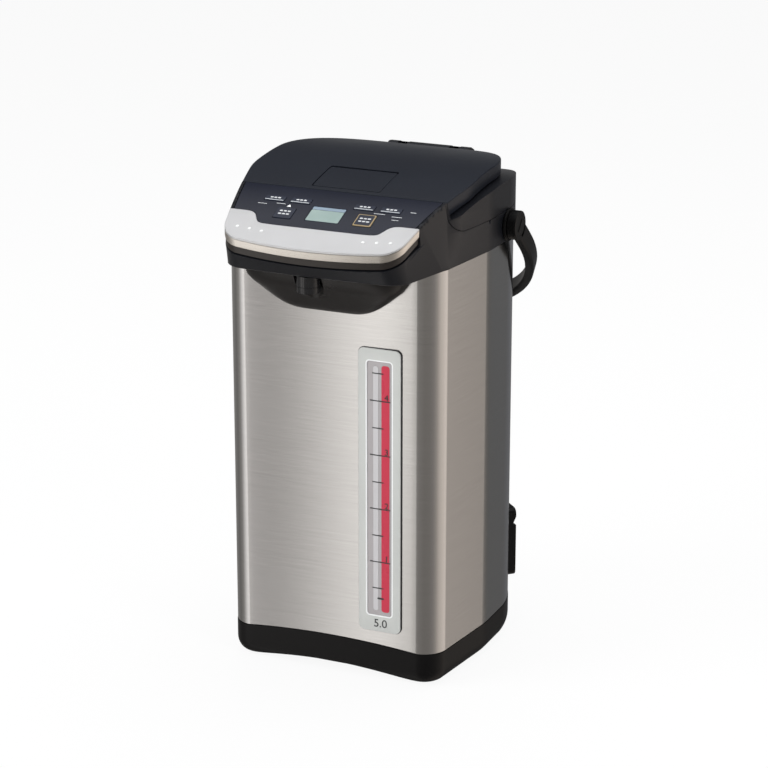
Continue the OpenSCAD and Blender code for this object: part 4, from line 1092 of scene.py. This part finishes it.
def lid_lever():
    """Plate over the recess, its lugs on the axle and the bar that draws the bolt."""
    outline = soft_rect(-LEVER_HALF, LEVER_D, LEVER_HALF, LEVER_D + LEVER_LEN, 1.8)
    plate = top_piece("lid_lever_plate", outline, 0.1, 2.4, 0.6, 0.3, strips=4.0)
    piece(on_top(plate), "lid_plastic", body="lever", replaces=["lid_lever"], soft=False)
    a = slope(AXLE_D)
    axle = (AXLE_D + AXLE_T * sin(a), top_z(AXLE_D) - AXLE_T * cos(a))
    lug = [(1.3, -3), (2.1, -3), (2.3, -2.8), (2.3, 2.8), (2.1, 3), (1.3, 3)]
    for s, side in SIDES:
        o = lathe("lid_lever_lug_" + side, lug, (s * (LEVER_HALF - 3.2), *axle), "x", 40)
        piece(o, "lid_plastic", body="lever")
    bar = top_piece("lid_lever_bar", rect(-8, LEVER_D + 2, 8, LEVER_D + 5), 2.2, 4.0, 0.2, flat=LEVER_D + 3)
    piece(bar, "lid_plastic", body="lever")


# ---- handle ----
def bow_line():
    """Middle line of the bow, from one eye to the other: (x, distance from the pins)."""
    x0 = EYE_X + BOW_THICK / 2
    line = [(x0, 0.0), (x0, BOW_STRAIGHT / 2)]
    for a in range(0, 91, 3):
        reach = (BOW_LENGTH - BOW_STRAIGHT) * sin(radians(a))
        line.append((x0 * cos(radians(a)), BOW_STRAIGHT + reach))
    return line + [(-x, far) for x, far in reversed(line[:-1])]


def handle_bow():
    s, c = sin(radians(BOW_TILT)), cos(radians(BOW_TILT))
    section = rounded_rect(0, 0, BOW_THICK, BOW_WIDTH, 3.2)
    line = bow_line()
    rings = []
    for i, (x, far) in enumerate(line):
        a, b = line[max(i - 1, 0)], line[min(i + 1, len(line) - 1)]
        k = dist(a, b)
        nx, nf = (b[1] - a[1]) / k, -(b[0] - a[0]) / k
        ring = []
        for p, q in section:
            f = far + nf * p
            ring.append((x + nx * p, PIVOT_D + f * c + q * s, PIVOT_Z - f * s + q * c))
        rings.append(ring)
    o = loft("carry_handle_bow", rings, sharp=40)
    end = EYE_X + EYE_DEPTH
    boolean(o, [lathe("cut", [(BORE_R, -end), (BORE_R, end)], (0, PIVOT_D, PIVOT_Z), "x")], sharp=40)
    piece(o, "black_plastic", body="handle", replaces=["carry_handle"])


def on_pivot(name, profile, s, x0):
    """Profile of (radius, height) turned about the handle's axis, standing out from x0 on side s."""
    return lathe(name, [(r, s * (x0 + h)) for r, h in profile], (0, PIVOT_D, PIVOT_Z), "x")


def handle():
    handle_bow()
    eye = [(0, EYE_DEPTH), (BORE_R, EYE_DEPTH), (BORE_R, 0.3), (6.3, 0.0), (11.9, 0.0), (12.35, 0.2),
           (12.5, 0.6), (12.5, 7.2), (12.3, 7.7), (11.8, 8.0), (9.2, 8.0), (8.7, 7.85), (8.3, 7.5), (0, 7.5)]
    boss = [(0, 0.0), (13.3, 0.0), (13.8, 0.2), (14, 0.6), (14, 1.7), (13.8, 2.0), (13.4, 2.1), (12.9, 2.1),
            (12.6, 2.4), (PIN_R, 2.4), (PIN_R, 8.9), (PIN_R - 0.3, 9.2), (0, 9.2)]
    for s, side in SIDES:
        o = on_pivot("carry_handle_eye_" + side, eye, s, EYE_X)
        piece(o, "black_plastic", body="handle")
        o = on_pivot("handle_pivot_boss_" + side, boss, s, BOSS_X)
        piece(o, "black_plastic", replaces=["handle_pivot_" + side])


# ---- gauge ----
def with_hole(name, outer, inner, lo, hi, r=0.0):
    """Plate on the front face between lo and hi with a hole through it."""
    o = prism(name, outer, "d", lo, hi, r)
    boolean(o, [prism("cut", inner, "d", -3, 3)])
    return o


def plate_outline(g, r):
    return rounded_rect(GAUGE_X, GAUGE_Z, GAUGE_W + g, GAUGE_H + g, r, 8)


def window_outline(g, r):
    return rounded_rect(GAUGE_X, WINDOW_Z, WINDOW_W + g, WINDOW_H + g, r, 8)


def gauge_plate():
    plate = with_hole("gauge_plate", plate_outline(0, 5), window_outline(0, 3), -1.4, 0.2, 0.4)
    piece(plate, "gauge_plastic", replaces=["gauge_frame"])
    # dark ring round the plate: painted shadow for the gap at the plate's sides, in the dark print material
    line = with_hole("gauge_painted_shadow_gap", plate_outline(0.9, 5.4), plate_outline(-1, 4.5), -0.4, 0.9, 0.2)
    piece(line, "dark_print")


def gauge_window():
    """Lilac back, white line round it, and a painted highlight for the tube's sheen beside the red stripe."""
    back_plate = prism("gauge_back", window_outline(-0.6, 2.7), "d", -0.75, 3.0)
    piece(back_plate, "gauge_lilac", replaces=["gauge_window"])
    rim = with_hole("gauge_white_line", window_outline(0.6, 3.3), window_outline(-1.6, 2.4), -1.41, -0.9)
    piece(rim, "white_print")
    # lighter strip: painted highlight where the tube shows its sheen
    outline = rounded_rect(GAUGE_X - 3.4, WINDOW_Z, 4.6, WINDOW_H - 10, 2.0)
    piece(prism("gauge_tube_painted_highlight", outline, "d", -0.95, 0), "gauge_streak")
    outline = rounded_rect(GAUGE_X + 5.4, WINDOW_Z, 7.2, WINDOW_H - 8, 2.4)
    piece(prism("gauge_red_stripe", outline, "d", -0.95, 0), "red_print", replaces=["gauge_scale"])


def printed(name, outline):
    """Dark line or spot printed over the gauge's window."""
    piece(prism(name, outline, "d", -1.08, -0.6), "dark_print", soft=False)


def number(name, text, x, z, height, d=-1.08):
    """A plain generic number on the gauge."""
    font_size = 1.35
    text_curve = bpy.data.curves.new(name, "FONT")
    text_curve.body = text
    text_curve.size = height * MM * font_size
    text_curve.align_x = "CENTER"
    text_curve.align_y = "CENTER"
    text_curve.extrude = 0.0001
    o = add_object(name + "_text", text_curve)
    o.rotation_euler = (radians(90), 0, 0)
    o.location = point((x, d, z))
    bpy.context.view_layer.update()
    me = evaluated(o)
    me.transform(o.matrix_world)
    bpy.data.objects.remove(o)
    bm = bmesh.new()
    bm.from_mesh(me)
    piece(new_object(name, bm), "dark_print", soft=False)


def gauge_scale():
    """A line each half litre; the whole ones are longer and numbered."""
    for k in range(1, 10):
        z = LITRE_ZERO + k * 0.5 * LITRE_STEP
        whole = k % 2 == 0
        x0, x1 = (GAUGE_X - 8.6, GAUGE_X + 9.6) if whole else (GAUGE_X - 6.4, GAUGE_X + 3.6)
        printed("gauge_tick_%d" % k, rect(x0, z - 0.45, x1, z + 0.45))
        if whole:
            number("gauge_number_%d" % (k // 2), str(k // 2), GAUGE_X + 6.4, z + 3.1, 5.6)
    number("gauge_number_top", "5.0", GAUGE_X + 1.0, GAUGE_BOTTOM + 7.2, 7.6, -1.46)
    printed("gauge_low_mark", rounded_rect(GAUGE_X + 1.0, 76.0, 6.0, 1.5, 0.7, 5))


base_housing()
jacket()
head_parts()
chin()
spout()
trim_top()
trim_band()
tactile_dots()
fascia()
display()
panel_carrier()
keys()
panel_signs()
lid_cover()
hinge_arms()
lid_lever()
handle()
gauge_plate()
gauge_window()
gauge_scale()

# ---- stage, light, camera ----
# what metal and gloss see around the pot: (degrees from the front towards the right, colour)
STUDIO = [
    (-180, (0.17, 0.17, 0.18)), (-160, (0.25, 0.25, 0.25)), (-140, (0.35, 0.34, 0.33)),
    (-90, (0.22, 0.21, 0.20)), (-66, (0.40, 0.38, 0.36)), (-48, (1.15, 1.11, 1.08)),
    (-36, (1.60, 1.53, 1.48)), (-33.5, (1.30, 1.24, 1.20)), (-32, (0.12, 0.11, 0.10)),
    (-28.5, (0.58, 0.55, 0.52)), (-25, (1.20, 1.15, 1.10)), (-22.5, (1.70, 1.63, 1.56)),
    (-19.2, (1.75, 1.68, 1.60)), (-17.5, (0.35, 0.33, 0.30)), (-12, (0.33, 0.31, 0.29)),
    (20, (0.27, 0.25, 0.23)), (45, (0.28, 0.26, 0.24)), (62, (0.34, 0.31, 0.29)), (78, (0.50, 0.45, 0.41)),
    (94, (0.82, 0.73, 0.65)), (135, (1.15, 1.02, 0.92)), (141, (0.85, 0.75, 0.67)),
    (143.5, (0.42, 0.38, 0.34)), (147, (0.16, 0.15, 0.14)), (160, (0.16, 0.16, 0.16)),
    (180, (0.17, 0.17, 0.18)),
]
# how bright that is at each height of the direction
RISE = [(-0.50, 0.64), (-0.05, 1.0), (0.06, 1.0), (0.16, 0.30), (0.66, 0.30), (0.80, 1.0)]
BRIGHTEST = 1.75
LEVEL = 1.12
ABOVE = (0.475, 0.475, 0.48)

CAMERA_AZIMUTH = 24.0
CAMERA_ELEVATION = 18.0
CAMERA_DISTANCE = 2.380
CAMERA_AIM = (-42.7, 207.5, 192.5)
SENSOR = 36
FOCAL_PX = 2612
IMAGE_PX = 768


def floor_material():
    """Nearly white to the camera, matt to the light, and not there for what metal mirrors."""
    m = bpy.data.materials.new("floor")
    nt = fresh_nodes(m)
    matt = new_node(nt, "BsdfDiffuse", (0.82, 0.82, 0.82)).outputs[0]
    white = new_node(nt, "Emission", (1, 1, 1), 1.0).outputs[0]
    nothing = new_node(nt, "BsdfTransparent").outputs[0]
    ray = new_node(nt, "LightPath").outputs
    seen = mix_shader(nt, calc(nt, "MULTIPLY", ray["Is Camera Ray"], 0.92), matt, white)
    new_node(nt, "OutputMaterial", mix_shader(nt, ray["Is Glossy Ray"], seen, nothing))
    return m


def stage():
    bm = bmesh.new()
    bmesh.ops.create_grid(bm, x_segments=1, y_segments=1, size=6.0)
    me = bpy.data.meshes.new("floor")
    bm.to_mesh(me)
    bm.free()
    me.materials.append(floor_material())
    floor = add_object("floor", me)


def world():
    """White for the camera, soft and even for matt surfaces, the studio for gloss."""
    w = bpy.data.worlds.new("studio")
    bpy.context.scene.world = w
    nt = fresh_nodes(w)
    x, y, z = new_node(nt, "SeparateXYZ", new_node(nt, "TexCoord").outputs["Generated"]).outputs
    turn = calc(nt, "ARCTAN2", x, calc(nt, "MULTIPLY", y, -1.0))
    around = ramp(nt, span(nt, turn, 0.0, 1.0, -pi, pi),
                  [((angle + 180) / 360, shade(colour, 1 / BRIGHTEST)) for angle, colour in STUDIO])
    rise = ramp(nt, span(nt, z, 0.0, 1.0, -1.0, 1.0), [((h + 1) / 2, (k, k, k)) for h, k in RISE])
    colour = mix_colour(nt, span(nt, z, 0.0, 1.0, 0.60, 0.85), around, ABOVE)
    mirrored_light = background(nt, colour, calc(nt, "MULTIPLY", rise, LEVEL * BRIGHTEST))
    soft_light = background(nt, (0.97, 0.98, 1.0), 0.40)
    ray = new_node(nt, "LightPath").outputs
    light = mix_shader(nt, ray["Is Glossy Ray"], soft_light, mirrored_light)
    both = mix_shader(nt, ray["Is Camera Ray"], light, background(nt, (1, 1, 1), 1.0))
    new_node(nt, "OutputWorld", both)


def area(name, loc, target, size, power):
    """Lamp that lights matt surfaces and isn't mirrored."""
    lamp = bpy.data.lights.new(name, "AREA")
    lamp.shape = "RECTANGLE"
    lamp.size, lamp.size_y = size
    lamp.energy = power
    o = add_object(name, lamp)
    o.location = loc
    o.visible_glossy = False
    o.rotation_euler = (Vector(target) - Vector(loc)).to_track_quat("-Z", "Y").to_euler()


def camera():
    az, el = radians(CAMERA_AZIMUTH), radians(CAMERA_ELEVATION)
    away = Vector((sin(az) * cos(el), -cos(az) * cos(el), sin(el)))
    aim = point(CAMERA_AIM)
    cam = bpy.data.cameras.new("camera")
    cam.lens = FOCAL_PX / IMAGE_PX * SENSOR
    cam.sensor_width = SENSOR
    o = add_object("camera", cam)
    o.location = aim + CAMERA_DISTANCE * away
    o.rotation_euler = (aim - o.location).to_track_quat("-Z", "Y").to_euler()
    bpy.context.scene.camera = o


stage()
world()
area("key_left", (-1.6, -1.5, 1.5), (0, 0, 0.2), (1.4, 1.6), 42)
area("fill_right", (1.9, -0.9, 0.9), (0, 0, 0.2), (0.5, 1.6), 16)
area("top_soft", (0.1, 0.5, 1.9), (0, 0, 0.3), (1.6, 1.4), 24)
camera()
bpy.context.scene.view_settings.view_transform = "Standard"

bpy.context.view_layer.update()
